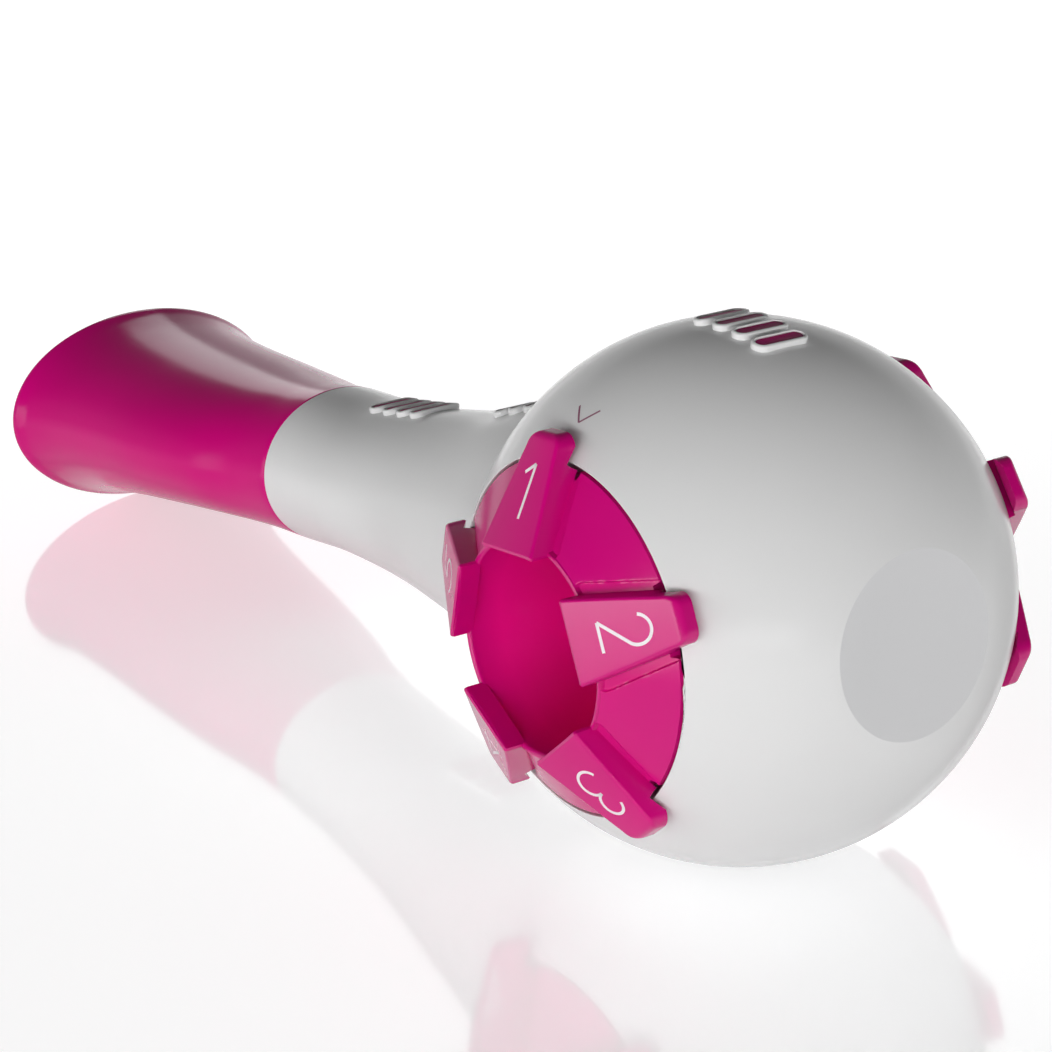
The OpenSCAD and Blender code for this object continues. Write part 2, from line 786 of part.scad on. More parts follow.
// Mouthpiece and the sealing band between it and the spigot
module mouthpiece() {
    color("mediumvioletred")
        lying()
            loft(mouth_rings);
}
module mouthpiece_seal() {
    inner = [spigot_a - band_t, spigot_b - band_t];
    low = band_x - band_w / 2 + fit;
    high = band_x + band_w / 2 - fit;
    color("dimgray")
        lying()
            loft([
                [low, inner[0] + fit, inner[1] + fit], [low, inner[0] + band_t, inner[1] + band_t],
                [high, inner[0] + band_t, inner[1] + band_t], [high, inner[0] + fit, inner[1] + fit]
            ]);
}

// Inlays of the grip ribs
module ball_grip_inlays() {
    color("mediumvioletred")
        lying()
            ball_ribs(rib_rim + fit, rib_h - inlay_drop, inlay_sink - fit * 2);
}
module neck_inlays(x, up) {
    color("mediumvioletred")
        lying()
            neck_ribs(x, up, rib_rim + fit, rib_h - inlay_drop, inlay_sink - fit * 2);
}

housing_upper();
housing_lower();
neck();
end_cap();
cartridge(exhale);  // exhale_cartridge
gasket(exhale);  // exhale_gasket
valve_seat(exhale);  // exhale_valve_seat
valve_disc(exhale);  // exhale_valve_disc
dial(exhale);  // exhale_dial
dial_seal(exhale);  // exhale_dial_seal
axle_screw(exhale);  // exhale_axle_screw
spring_washer(exhale);  // exhale_spring_washer
click_ball(exhale);  // exhale_click_ball
click_spring(exhale);  // exhale_click_spring
cartridge(inhale);  // inhale_cartridge
gasket(inhale);  // inhale_gasket
valve_seat(inhale);  // inhale_valve_seat
valve_disc(inhale);  // inhale_valve_disc
inhale_valve_cap();
dial(inhale);  // inhale_dial
dial_seal(inhale);  // inhale_dial_seal
axle_screw(inhale);  // inhale_axle_screw
spring_washer(inhale);  // inhale_spring_washer
click_ball(inhale);  // inhale_click_ball
click_spring(inhale);  // inhale_click_spring
mouthpiece();
mouthpiece_seal();
ball_grip_inlays();
neck_inlays(neck_grip_x, true);  // neck_grip_inlays
neck_inlays(shoulder_grip_x, true);  // shoulder_grip_inlays
neck_inlays(under_grip_x, false);  // under_grip_inlays
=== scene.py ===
import math

import bpy
import numpy as np
from bpy.props import FloatProperty, FloatVectorProperty, IntProperty, PointerProperty
from mathutils import Matrix, Vector


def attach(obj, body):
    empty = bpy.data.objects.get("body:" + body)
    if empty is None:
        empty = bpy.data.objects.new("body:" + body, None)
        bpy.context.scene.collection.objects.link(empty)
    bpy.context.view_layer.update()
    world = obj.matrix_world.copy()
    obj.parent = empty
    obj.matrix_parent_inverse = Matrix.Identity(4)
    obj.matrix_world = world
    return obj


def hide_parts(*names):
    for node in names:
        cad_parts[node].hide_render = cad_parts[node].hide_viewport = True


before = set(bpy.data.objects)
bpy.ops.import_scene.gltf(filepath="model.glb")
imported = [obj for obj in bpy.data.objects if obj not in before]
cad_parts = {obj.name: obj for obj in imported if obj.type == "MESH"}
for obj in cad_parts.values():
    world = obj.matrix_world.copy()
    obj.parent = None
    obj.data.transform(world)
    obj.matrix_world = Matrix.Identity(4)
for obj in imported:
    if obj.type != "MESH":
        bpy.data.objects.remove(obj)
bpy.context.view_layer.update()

bl_info = {
    "name": "Breathing trainer",
    "version": (1, 0, 0),
    "blender": (4, 5, 0),
    "location": "View3D > Sidebar > Trainer",
    "description": "Skins, dials, ribs and stage of a hand-held breathing trainer",
    "category": "Object",
}

MM = 0.001
TAU = 2 * math.pi
EXHALE, INHALE = 1, -1
DIAL_WALL = 1.3  # mm, wall of a dial's tube
LIP_WIDTH = 0.55  # mm of flat rim round a dial's bore
OUTSIDE = -9.0  # a distance that counts as far outside a tray or a notch


# Sizes a user would change

def length(name, description, default):
    return FloatProperty(name=name, description=description, default=default * MM,
                         min=0.0, unit="LENGTH", subtype="DISTANCE")


def colour(name, description, default):
    return FloatVectorProperty(name=name, description=description, default=default,
                               size=3, min=0.0, max=1.0, subtype="COLOR")


class TrainerBody(bpy.types.PropertyGroup):
    ball_r: length("Ball radius", "Outer radius of the ball", 26)
    wall: length("Wall", "Thickness of the ball's and the neck's wall", 2)
    flat_depth: length("Flat depth", "Depth of the flat at the back of the ball", 1.5)
    neck_len: length("Neck length", "From the ball's centre to the mouthpiece's seam", 71.4)
    neck_w: length("Neck width", "Width of the neck at the seam", 21)
    neck_h: length("Neck height", "Height of the neck at the seam", 17.8)
    root_r: length("Root radius", "Radius of the neck where it leaves the ball", 14.5)
    blend_r: length("Blend radius", "Radius of the hollow blend into the neck", 7.8)
    spigot_len: length("Spigot length", "Length that carries the mouthpiece", 13)
    spigot_wall: length("Spigot wall", "Thickness of the spigot's wall", 1.6)


class TrainerMouthpiece(bpy.types.PropertyGroup):
    mouth_len: length("Length", "From the seam to the lip", 50)
    lip_w: length("Lip width", "Width across the lip", 36.4)
    lip_h: length("Lip height", "Height across the lip", 23.4)
    sleeve_wall: length("Wall", "Thickness of the mouthpiece's wall", 1.8)


class TrainerDials(bpy.types.PropertyGroup):
    exhale_settings: IntProperty(name="Exhale settings", description="Lugs on the exhale dial",
                                 default=5, min=3, max=5)
    inhale_settings: IntProperty(name="Inhale settings", description="Lugs on the inhale dial",
                                 default=6, min=4, max=6)
    exhale_opening: length("Exhale opening", "Radius of the exhale opening in the ball", 16.8)
    inhale_opening: length("Inhale opening", "Radius of the inhale opening in the ball", 16.4)
    exhale_bore: length("Exhale bore", "Radius of the exhale dial's bore", 9.9)
    inhale_bore: length("Inhale bore", "Radius of the inhale dial's bore", 9.6)
    exhale_floor: length("Exhale floor", "From the ball's centre to the bore's floor", 9.6)
    inhale_floor: length("Inhale floor", "From the ball's centre to the bore's floor", 13)
    rim_drop: length("Rim drop", "How far the rim of a bore lies inside the ball's radius", 1.9)
    lug_h: length("Lug height", "Height of the lugs over that rim", 1.7)


class TrainerRibs(bpy.types.PropertyGroup):
    count: IntProperty(name="Ribs", description="Ribs in a group", default=4, min=3, max=5)
    pitch: length("Pitch", "From one rib to the next", 2.75)
    rib_len: length("Length", "Length of a rib", 6)
    rib_w: length("Width", "Width of a rib", 2.1)
    rib_h: length("Height", "Height of a rib over the surface", 0.6)
    rim: length("Rim", "Width of the pale rim round an inlay", 0.35)


class TrainerFinish(bpy.types.PropertyGroup):
    shell: colour("Shell", "Colour of the ball and the neck", (0.80, 0.80, 0.80))
    dial: colour("Dials", "Colour of the dials", (0.68, 0.002, 0.21))
    mouth: colour("Mouthpiece", "Colour of the mouthpiece", (0.66, 0.002, 0.20))
    inlay: colour("Inlays", "Colour of the inlays of the grip ribs", (0.50, 0.012, 0.17))
    digits: colour("Digits", "Colour of the digits on the lugs", (0.92, 0.86, 0.89))


# Values worked out from them

class Sizes:
    """All sizes in millimetres. The long axis runs from the ball's centre along +X, the
    exhale dial looks along +Y, and +Z is up before the whole part is laid down."""

    def __init__(self, scene):
        for group in (scene.trainer_body, scene.trainer_mouthpiece, scene.trainer_dials):
            for key in group.bl_rna.properties.keys():
                if key not in ("rna_type", "name"):
                    value = getattr(group, key)
                    setattr(self, key, value / MM if isinstance(value, float) else value)
        self.fit, self.seat_gap, self.dial_gap, self.lug_gap = 0.05, 0.1, 0.3, 0.6
        self.inner_r = self.ball_r - self.wall
        self.flat_x = self.ball_r - self.flat_depth
        self.flat_r = dome(self.ball_r, self.flat_x)
        self.rim_out = self.ball_r - self.rim_drop
        self.root_turn = math.radians(11)
        self.blend_out = self.root_r + self.blend_r * math.cos(self.root_turn)
        self.blend_x = dome(self.ball_r + self.blend_r, self.blend_out)
        self.root_x = self.blend_x - self.blend_r * math.sin(self.root_turn)
        self.touch_x = self.blend_x * self.ball_r / (self.ball_r + self.blend_r)
        self.touch_r = self.blend_out * self.ball_r / (self.ball_r + self.blend_r)
        self.touch_turn = math.asin(self.blend_x / (self.ball_r + self.blend_r))
        self.plug_r = dome(self.inner_r, self.touch_x) - self.seat_gap
        self.plug_flange_r = self.plug_r + 0.7
        self.plug_x = dome(self.inner_r, self.plug_flange_r) - self.fit
        self.spigot_a = self.neck_w / 2 - self.sleeve_wall - self.fit
        self.spigot_b = self.neck_h / 2 - self.sleeve_wall - self.fit
        self.duct_a = self.spigot_a - self.spigot_wall
        self.duct_b = self.spigot_b - self.spigot_wall
        self.spigot_end = self.neck_len + self.spigot_len
        self.band_x = self.neck_len + self.spigot_len / 2
        self.bead_r = self.sleeve_wall / 2
        self.lip_x = self.neck_len + self.mouth_len - self.bead_r
        reach = math.hypot(self.lip_x, self.lip_h / 2)
        self.tilt = math.asin(self.ball_r / reach) - math.atan2(self.lip_h / 2, self.lip_x)
        c, s = math.cos(self.tilt), math.sin(self.tilt)
        # The lip's bead reaches furthest where its circle meets the laid-down length
        turn = np.linspace(0, TAU, 13)
        far = ((self.lip_x + self.bead_r * np.cos(turn)) * c
               + (self.lip_h / 2 - self.bead_r + self.bead_r * np.sin(turn)) * s).max()
        self.centre_x = -(far - self.flat_x * c - self.flat_r * s) / 2


def dome(sphere_r, r):
    """Height of a sphere over its middle plane at radius r, a number or an array."""
    if np.ndim(r):
        return np.sqrt(np.maximum(sphere_r ** 2 - np.asarray(r, float) ** 2, 0.0))
    return math.sqrt(sphere_r ** 2 - r ** 2)


def lay_down(points, z):
    """Turns points about +Y by the tilt, then lifts the ball's centre to its radius."""
    c, s = math.cos(z.tilt), math.sin(z.tilt)
    x, y, up = points[..., 0], points[..., 1], points[..., 2]
    return np.stack([c * x + s * up + z.centre_x, y, -s * x + c * up + z.ball_r], -1)


def face_side(points, side):
    """From a dial's own frame, with +Z outward and +Y up, to the part's frame."""
    a, b, out = points[..., 0], points[..., 1], points[..., 2]
    return np.stack([-a, out, b] if side == EXHALE else [a, -out, b], -1)


def laid(z):
    """Takes points of the part's frame to where they lie."""
    return lambda points: lay_down(points, z)


def laid_side(side, z):
    """Takes points of a dial's own frame to where they lie."""
    return lambda points: lay_down(face_side(points, side), z)


# Mesh code

def grid_faces(rings, around, closed_path=False):
    """Quads between ring i and ring i + 1, from point k to point k + 1, all the way round."""
    i = np.arange(rings if closed_path else rings - 1)[:, None]
    k = np.arange(around)[None, :]
    j, n = (i + 1) % rings, (k + 1) % around
    quads = np.stack([i * around + k, i * around + n, j * around + n, j * around + k], -1)
    return quads.reshape(-1, 4)


def fan_faces(first, around, pole, flip):
    """Triangles from one ring of points to a pole."""
    k = np.arange(around)
    a, b = first + k, first + (k + 1) % around
    tri = np.stack([a, b, np.full(around, pole)], -1)
    return tri[:, ::-1] if flip else tri


class Shape:
    """Points, quads and triangles of one piece, gathered from several closed surfaces."""

    def __init__(self):
        self.points, self.quads, self.tris, self.count = [], [], [], 0
        self.normals, self.smooth_quads = [], []

    def add(self, points, quads, tris, normals=None, given=None):
        """given marks the quads whose shading normals are those in normals."""
        self.points.append(points)
        self.quads.append(quads + self.count)
        self.tris.append(tris + self.count)
        self.normals.append(np.zeros_like(points) if normals is None else normals)
        self.smooth_quads.append(np.zeros(len(quads), bool) if given is None else given)
        self.count += len(points)

    def add_rings(self, rings, closed_path=False, poles=(False, False), normals=None,
                  given_rows=None):
        """Closed skin over a stack of rings of points. A pole closes an end at its ring's
        middle. The faces are turned so that the volume inside them counts as positive."""
        m, n = rings.shape[:2]
        quads = grid_faces(m, n, closed_path)
        points = rings.reshape(-1, 3)
        shade = None if normals is None else normals.reshape(-1, 3)
        tris = [np.zeros((0, 3), int)]
        for end, wanted in enumerate(poles):
            if wanted:
                middle = rings[-1 if end else 0].mean(0, keepdims=True)
                tris.append(fan_faces((m - 1) * n if end else 0, n, len(points), not end))
                points = np.concatenate([points, middle])
                if shade is not None:
                    shade = np.concatenate([shade, np.zeros((1, 3))])
        tris = np.concatenate(tris)
        given = None if given_rows is None else np.repeat(np.asarray(given_rows, bool), n)
        every = np.concatenate([quads[:, [0, 1, 2]], quads[:, [0, 2, 3]], tris])
        a, b, c = (points[every[:, i]] for i in range(3))
        if (a * np.cross(b, c)).sum() < 0:
            quads, tris = quads[:, ::-1], tris[:, ::-1]
        self.add(points, quads, tris, shade, given)

    def merge(self, other):
        """Takes over the surfaces of another shape that has no shading normals of its own."""
        start = 0
        for points, quads, tris in zip(other.points, other.quads, other.tris):
            self.add(points, quads - start, tris - start)
            start += len(points)


def add_piece(name, mesh, body, material, stands_for=()):
    """Makes an object of a mesh, at the origin, with its body and material."""
    piece = bpy.data.objects.new(name, mesh)
    bpy.context.scene.collection.objects.link(piece)
    mesh.materials.clear()
    mesh.materials.append(material)
    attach(piece, body)
    if stands_for:
        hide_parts(*stands_for)


def make_piece(name, shape, place, body, material, stands_for=(), sharp=38.0,
               place_normals=None, cavity=None):
    """Makes a piece of a shape in millimetres. place takes its points to where they lie, sharp is the
    angle in degrees over which an edge stays hard, and the last argument gives the value of the
    attribute of its own name, which marks where a finish paints light."""
    points = place(np.concatenate(shape.points)) * MM
    quads, tris = np.concatenate(shape.quads), np.concatenate(shape.tris)
    mesh = bpy.data.meshes.new(name)
    mesh.vertices.add(len(points))
    mesh.vertices.foreach_set("co", points.ravel())
    corners = np.concatenate([quads.ravel(), tris.ravel()]).astype(np.int32)
    sizes = np.concatenate([np.full(len(quads), 4), np.full(len(tris), 3)])
    mesh.loops.add(len(corners))
    mesh.loops.foreach_set("vertex_index", corners)
    mesh.polygons.add(len(sizes))
    starts = np.concatenate([[0], np.cumsum(sizes)[:-1]]).astype(np.int32)
    mesh.polygons.foreach_set("loop_start", starts)
    mesh.polygons.foreach_set("use_smooth", np.ones(len(sizes), bool))
    mesh.update(calc_edges=True)
    mesh.validate()
    mesh.set_sharp_from_angle(angle=math.radians(sharp))
    given = np.concatenate(shape.smooth_quads)
    if given.any():
        normals = np.concatenate(shape.normals)
        if place_normals is not None:
            normals = place_normals(normals)
        loops = np.zeros((len(corners), 3))
        mask = np.repeat(given, 4)
        loops[:len(mask)][mask] = normals[quads.ravel()[mask]]
        mesh.normals_split_custom_set(loops.tolist())
    if cavity is not None:
        inside = mesh.attributes.new("cavity", "FLOAT", "POINT")
        inside.data.foreach_set("value", cavity(np.concatenate(shape.points)))
    add_piece(name, mesh, body, material, stands_for)


# Outlines of neck and mouthpiece

# Share of the length, then how much of the way from the seam's size to the root's size the
# width and the height still have to go
NECK_SHARES = ((0, 1, 1), (0.12, 0.81, 0.8), (0.31, 0.53, 0.41), (0.53, 0.17, 0.14),
               (0.78, 0.06, -0.04), (1, 0, 0))
# Share of the length, then how far the width and the height have gone to the lip's size
MOUTH_SHARES = ((0, 0, 0), (0.13, 0.14, -0.14), (0.29, 0.39, -0.17), (0.5, 0.58, -0.03),
                (0.7, 0.68, 0.21), (0.86, 0.78, 0.5), (0.96, 0.9, 0.8), (1, 1, 1))


def smooth(table, t, column):
    """Cubic arcs through a table's rows, with each row's slope taken from its neighbours."""
    tab = np.array(table, float)
    x, y = tab[:, 0], tab[:, column]
    low = np.maximum(np.arange(len(x)) - 1, 0)
    high = np.minimum(np.arange(len(x)) + 1, len(x) - 1)
    slope = (y[high] - y[low]) / (x[high] - x[low])
    i = np.clip(np.searchsorted(x, t, side="left") - 1, 0, len(x) - 2)
    h = x[i + 1] - x[i]
    u = (t - x[i]) / h
    turn = h * (1 - u) * (slope[i] * (1 - u) - slope[i + 1] * u)
    return y[i] + u * u * (3 - 2 * u) * (y[i + 1] - y[i]) + u * turn


def neck_sizes(x, z):
    """Half width and half height of the neck's skin at distance x along its axis."""
    t = (np.asarray(x, float) - z.root_x) / (z.neck_len - z.root_x)
    t = np.clip(t, 0, 1)
    a = z.neck_w / 2 + smooth(NECK_SHARES, t, 1) * (z.root_r - z.neck_w / 2)
    b = z.neck_h / 2 + smooth(NECK_SHARES, t, 2) * (z.root_r - z.neck_h / 2)
    return a, b


def mouth_sizes(t, z):
    """Half width and half height of the mouthpiece's skin at share t of its length."""
    a = z.neck_w / 2 + smooth(MOUTH_SHARES, t, 1) * (z.lip_w - z.neck_w) / 2
    b = z.neck_h / 2 + smooth(MOUTH_SHARES, t, 2) * (z.lip_h - z.neck_h) / 2
    return a, b


def oval_rings(x, a, b, around):
    """Ellipses across the axis: y = a cos k, z = b sin k at each x."""
    k = np.arange(around) / around * TAU
    x, a, b = (np.asarray(v, float)[:, None] for v in (x, a, b))
    return np.stack([x + 0 * k, a * np.cos(k), b * np.sin(k)], -1)


def ring_normals(rings):
    """Cross product of the differences along and around a stack of rings."""
    along = np.gradient(rings, axis=0)
    around = np.roll(rings, -1, 1) - np.roll(rings, 1, 1)
    n = np.cross(around, along)
    return n / np.maximum(np.linalg.norm(n, axis=-1, keepdims=True), 1e-9)


def turn_only(z):
    """The laying-down turn without its lift, for normals."""
    def turn(n):
        c, s = math.cos(z.tilt), math.sin(z.tilt)
        return np.stack([c * n[..., 0] + s * n[..., 2], n[..., 1],
                         -s * n[..., 0] + c * n[..., 2]], -1)
    return turn


# Materials

class Nodes:
    """Adds nodes to one node tree and joins them."""

    def __init__(self, tree):
        self.tree = tree

    def node(self, kind, **values):
        """A node whose inputs or settings have the given values."""
        node = self.tree.nodes.new(kind)
        for key, value in values.items():
            if key in node.inputs:
                node.inputs[key].default_value = value
            else:
                setattr(node, key, value)
        return node

    def feed(self, value, socket):
        """Joins a node's output to an input, or sets the input to a plain value."""
        if isinstance(value, bpy.types.NodeSocket):
            self.tree.links.new(value, socket)
        else:
            socket.default_value = value

    def maths(self, operation, *values, use_clamp=False):
        """Result of a math node on numbers or other nodes' outputs."""
        node = self.node("ShaderNodeMath", operation=operation, use_clamp=use_clamp)
        for value, socket in zip(values, node.inputs):
            self.feed(value, socket)
        return node.outputs[0]

    def mix(self, share, first, second):
        """Mix of two colours, each given as three numbers or as a node's output."""
        node = self.node("ShaderNodeMix", data_type="RGBA")
        sockets = {(i.name, i.type): i for i in node.inputs}
        self.feed(share, sockets["Factor", "VALUE"])
        for name, tint in (("A", first), ("B", second)):
            if not isinstance(tint, bpy.types.NodeSocket):
                tint = (*tint, 1)
            self.feed(tint, sockets[name, "RGBA"])
        return next(o for o in node.outputs if o.type == "RGBA")


class Paint(Nodes):
    """The nodes of one material, round its Principled shader."""

    def __init__(self, name):
        self.material = bpy.data.materials.new(name)
        self.material.use_nodes = True
        super().__init__(self.material.node_tree)
        self.shader = self.tree.nodes["Principled BSDF"]
        self.place = self.node("ShaderNodeTexCoord").outputs["Object"]

    def give(self, values):
        """Feeds the shader's inputs, by name."""
        for name, value in values.items():
            self.feed(value, self.shader.inputs[name])

    def noise(self, scale, detail):
        """Noise in the piece's own coordinates, with scale in waves per metre."""
        node = self.node("ShaderNodeTexNoise", Scale=scale, Detail=detail)
        self.feed(self.place, node.inputs["Vector"])
        return node.outputs["Fac"]

    def spread(self, value, low, high):
        """Maps a noise of about 0.3 to 0.7 to the range from low to high."""
        ends = {"From Min": 0.3, "From Max": 0.7, "To Min": low, "To Max": high}
        node = self.node("ShaderNodeMapRange", **ends)
        self.feed(value, node.inputs["Value"])
        return node.outputs["Result"]

    def bump(self, height, strength, distance):
        """Bump on the shader's normal, with distance in metres."""
        node = self.node("ShaderNodeBump", Strength=strength, Distance=distance)
        self.feed(height, node.inputs["Height"])
        self.give({"Normal": node.outputs["Normal"]})


def moulded(name, tint, rough, spread, shade, bump, grain=900.0, level=0.5, subsurface=0.0,
            cavity=None):
    """Moulded plastic or rubber: a tint that drifts darker by the share shade, a roughness that
    varies by spread with flow marks, and a fine moulded grain as bump. Where a piece carries the
    attribute of the same name as the last argument, its tint goes over to that argument's brighter
    colour: painted light that stands in for the light bouncing round inside a dial's bore."""
    p = Paint(name)
    tint = tuple(tint)
    dark = tuple(v * (1 - shade) for v in tint)
    base = p.mix(p.spread(p.noise(60.0, 4.0), 0.0, 1.0), dark, tint)
    if cavity:
        inside = p.node("ShaderNodeAttribute", attribute_name="cavity")
        base = p.mix(inside.outputs["Fac"], base, cavity)
    marks = p.spread(p.noise(180.0, 5.0), rough - spread / 2, rough + spread / 2)
    p.give({"Base Color": base, "Roughness": marks, "IOR": 1.5, "Specular IOR Level": level,
            "Subsurface Weight": subsurface, "Subsurface Radius": (0.002, 0.0015, 0.0015),
            "Subsurface Scale": 1.0})
    p.bump(p.noise(grain, 2.0), bump, 0.00012)
    return p.material


def turned_steel(name):
    """Bright turned steel with a fine, uneven grain."""
    p = Paint(name)
    tone = p.spread(p.noise(700.0, 4.0), 0.0, 1.0)
    p.give({"Metallic": 1.0, "Base Color": p.mix(tone, (0.50, 0.51, 0.53), (0.66, 0.67, 0.69)),
            "Roughness": p.spread(p.noise(1500.0, 3.0), 0.22, 0.38)})
    p.bump(p.noise(2500.0, 2.0), 0.15, 0.00005)
    return p.material


def finishes(scene):
    """Every finish by its name. Each is made once, when a piece first asks for it."""
    f = scene.trainer_finish
    plastics = {
        "shell_gloss": dict(tint=f.shell, rough=0.16, spread=0.05, shade=0.02, bump=0.03,
                            grain=700.0),
        # The cap's satin roughness is its own, but its grey, darker than the shell's, is painted
        # shade for the flat facet, which shows greyer than the ball round it
        "cap_satin": dict(tint=(0.70, 0.70, 0.71), rough=0.36, spread=0.04, shade=0.02,
                          bump=0.03, grain=700.0),
        # The brighter magenta in the last entry is painted light inside each dial's bore, not a
        # colour of the plastic
        "dial_satin": dict(tint=f.dial, rough=0.18, spread=0.06, shade=0.10, bump=0.04,
                           grain=1100.0, cavity=(0.86, 0.004, 0.27)),
        "mouthpiece_gloss": dict(tint=f.mouth, rough=0.17, spread=0.04, shade=0.06, bump=0.03,
                                 level=0.16),
        "inlay_soft": dict(tint=f.inlay, rough=0.42, spread=0.08, shade=0.12, bump=0.10,
                           grain=1400.0),
        "digit_print": dict(tint=f.digits, rough=0.45, spread=0.06, shade=0.03, bump=0.05),
        "mark_print": dict(tint=(0.30, 0.10, 0.17), rough=0.5, spread=0.06, shade=0.1,
                           bump=0.05),
        "insert_plastic": dict(tint=(0.72, 0.72, 0.70), rough=0.45, spread=0.08, shade=0.05,
                               bump=0.08),
        "valve_silicone": dict(tint=(0.62, 0.66, 0.70), rough=0.5, spread=0.1, shade=0.05,
                               bump=0.1, subsurface=0.3),
        "seal_rubber_black": dict(tint=(0.02, 0.02, 0.022), rough=0.6, spread=0.1, shade=0.2,
                                  bump=0.12),
    }

    def get(name):
        known = bpy.data.materials.get(name)
        if known:
            return known
        return moulded(name, **plastics[name]) if name in plastics else turned_steel(name)
    return get


# Ball

def ball_edge(sphere_r, holes, per_hole, per_gap):
    """Edge of a half ball, as unit directions seen from its centre. It follows each hole's
    half circle, cos(a) h + sin(a) (-cos t e + sin t up), and the equator between holes."""
    parts, kinds = [], []
    turns = [h[0] for h in holes]
    spans = [math.asin(h[1] / sphere_r) for h in holes]
    for i, (turn, span) in enumerate(zip(turns, spans)):
        t = np.linspace(0, math.pi, per_hole)
        out = np.array([math.cos(turn), math.sin(turn), 0])
        side = np.array([-math.sin(turn), math.cos(turn), 0])
        up = np.array([0, 0, 1.0])
        parts.append(math.cos(span) * out - math.sin(span) * np.cos(t)[:, None] * side
                     + math.sin(span) * np.sin(t)[:, None] * up)
        kinds.append(np.full(per_hole, i))
        nxt = (i + 1) % len(holes)
        end = turns[nxt] - spans[nxt] + (TAU if nxt == 0 else 0)
        gap = np.linspace(turn + span, end, per_gap + 2)[1:-1]
        parts.append(np.stack([np.cos(gap), np.sin(gap), 0 * gap], -1))
        kinds.append(np.full(per_gap, -1))
    return np.concatenate(parts), np.concatenate(kinds)


def polar_rows(edge, sphere_r, shares):
    """Points on the sphere from the top pole to the edge: the polar angle of each column is
    a share of the edge's polar angle, at the edge's own azimuth."""
    polar = np.arccos(np.clip(edge[:, 2], -1, 1))
    azimuth = np.arctan2(edge[:, 1], edge[:, 0])
    t = np.asarray(shares)[:, None] * polar[None, :]
    return sphere_r * np.stack([np.sin(t) * np.cos(azimuth), np.sin(t) * np.sin(azimuth),
                                np.cos(t)], -1)


def half_ball(z, up):
    """One half of the ball: outer skin, softened edges of the openings, inner skin."""
    per_hole, per_gap, rows, soft_edge = 64, 10, 48, 0.22

    def holes(neck_r):
        """Turn round the ball and radius of its openings: neck, exhale, flat, inhale."""
        return [(0, neck_r), (math.pi / 2, z.exhale_opening), (math.pi, z.flat_r),
                (1.5 * math.pi, z.inhale_opening)]

    outside, inside = holes(z.touch_r), holes(dome(z.inner_r, z.touch_x))
    edge_out, kind = ball_edge(z.ball_r, outside, per_hole, per_gap)
    edge_in, _ = ball_edge(z.inner_r, inside, per_hole, per_gap)
    shares = np.linspace(0, 1, rows + 1)[1:]
    outer = polar_rows(edge_out, z.ball_r, shares)
    inner = polar_rows(edge_in, z.inner_r, shares)[::-1]
    rim_out, rim_in = outer[-1], inner[0]
    # Only the edges of the two dials' openings, 1 and 3, are softened
    soften = np.where(np.isin(kind, (1, 3))[:, None], soft_edge, 0.0)
    # Rows turn from the skin, away from the opening's axis, into the opening's wall
    axis = np.array([[math.cos(turn), math.sin(turn), 0] for turn, _ in outside])[kind]
    radial = rim_out / z.ball_r
    back = radial * (axis * radial).sum(1, keepdims=True) - axis
    back = back / np.linalg.norm(back, axis=1, keepdims=True)
    drop = rim_in - rim_out
    drop = drop / np.linalg.norm(drop, axis=1, keepdims=True)
    corner = [rim_out + soften * (back * (1 - math.sin(q)) + drop * (1 - math.cos(q)))
              for q in np.radians([0, 30, 60, 90])]
    rings = np.concatenate([outer[:-1], np.array(corner), inner])
    normals = rings / np.linalg.norm(rings, axis=-1, keepdims=True)
    given = np.zeros(len(rings) - 1, bool)
    given[:rows - 1] = True
    if not up:
        rings, normals = (v * np.array([1, 1, -1.0]) for v in (rings, normals))
    shape = Shape()
    shape.add_rings(rings, poles=(True, True), normals=normals, given_rows=given)
    return shape


def port_shelf(z, shape, side, up):
    """Half ring inside an opening that a dial's bearing hangs on: a rectangle swept round
    half a turn, from the bearing's barrel out into the ball's wall."""
    opening, bore = z.exhale_opening, z.exhale_bore
    if side == INHALE:
        opening, bore = z.inhale_opening, z.inhale_bore
    thick, lift, sink, barrel_wall = 1.5, 0.2, 0.4, 2.2
    top = dome(z.inner_r, opening) + lift
    low = top - thick
    barrel = bore + DIAL_WALL + barrel_wall + z.fit
    section = np.array([[barrel, low], [barrel, top], [dome(z.inner_r + sink, top), top],
                        [dome(z.inner_r + sink, low), low]])
    a = np.linspace(0, math.pi, 49) * (1 if up else -1)
    rings = np.stack([section[None, :, 0] * np.cos(a)[:, None],
                      section[None, :, 0] * np.sin(a)[:, None],
                      section[None, :, 1] + 0 * a[:, None]], -1)
    shape.add_rings(face_side(rings, side), poles=(True, True))


def flat_cap(z):
    """Disc that fills the ball's flat, with a flange behind the ball's wall."""
    hub, bevel, seam, flange = 0.02, 0.2, 0.003, 1
    edge, wide = z.flat_r - z.fit, z.flat_r + flange
    back = dome(z.inner_r, wide) - z.fit
    profile = [(hub, z.flat_x), (z.flat_r - bevel, z.flat_x), (z.flat_r - seam, z.flat_x),
               (edge, z.flat_x - bevel), (edge, back), (wide, back), (wide, back - flange),
               (hub, back - flange)]
    a = np.arange(128) / 128 * TAU
    r, x = (np.array(v)[:, None] for v in zip(*profile))
    shape = Shape()
    shape.add_rings(np.stack([-x + 0 * a, r * np.cos(a), r * np.sin(a)], -1),
                    poles=(True, True))
    return shape


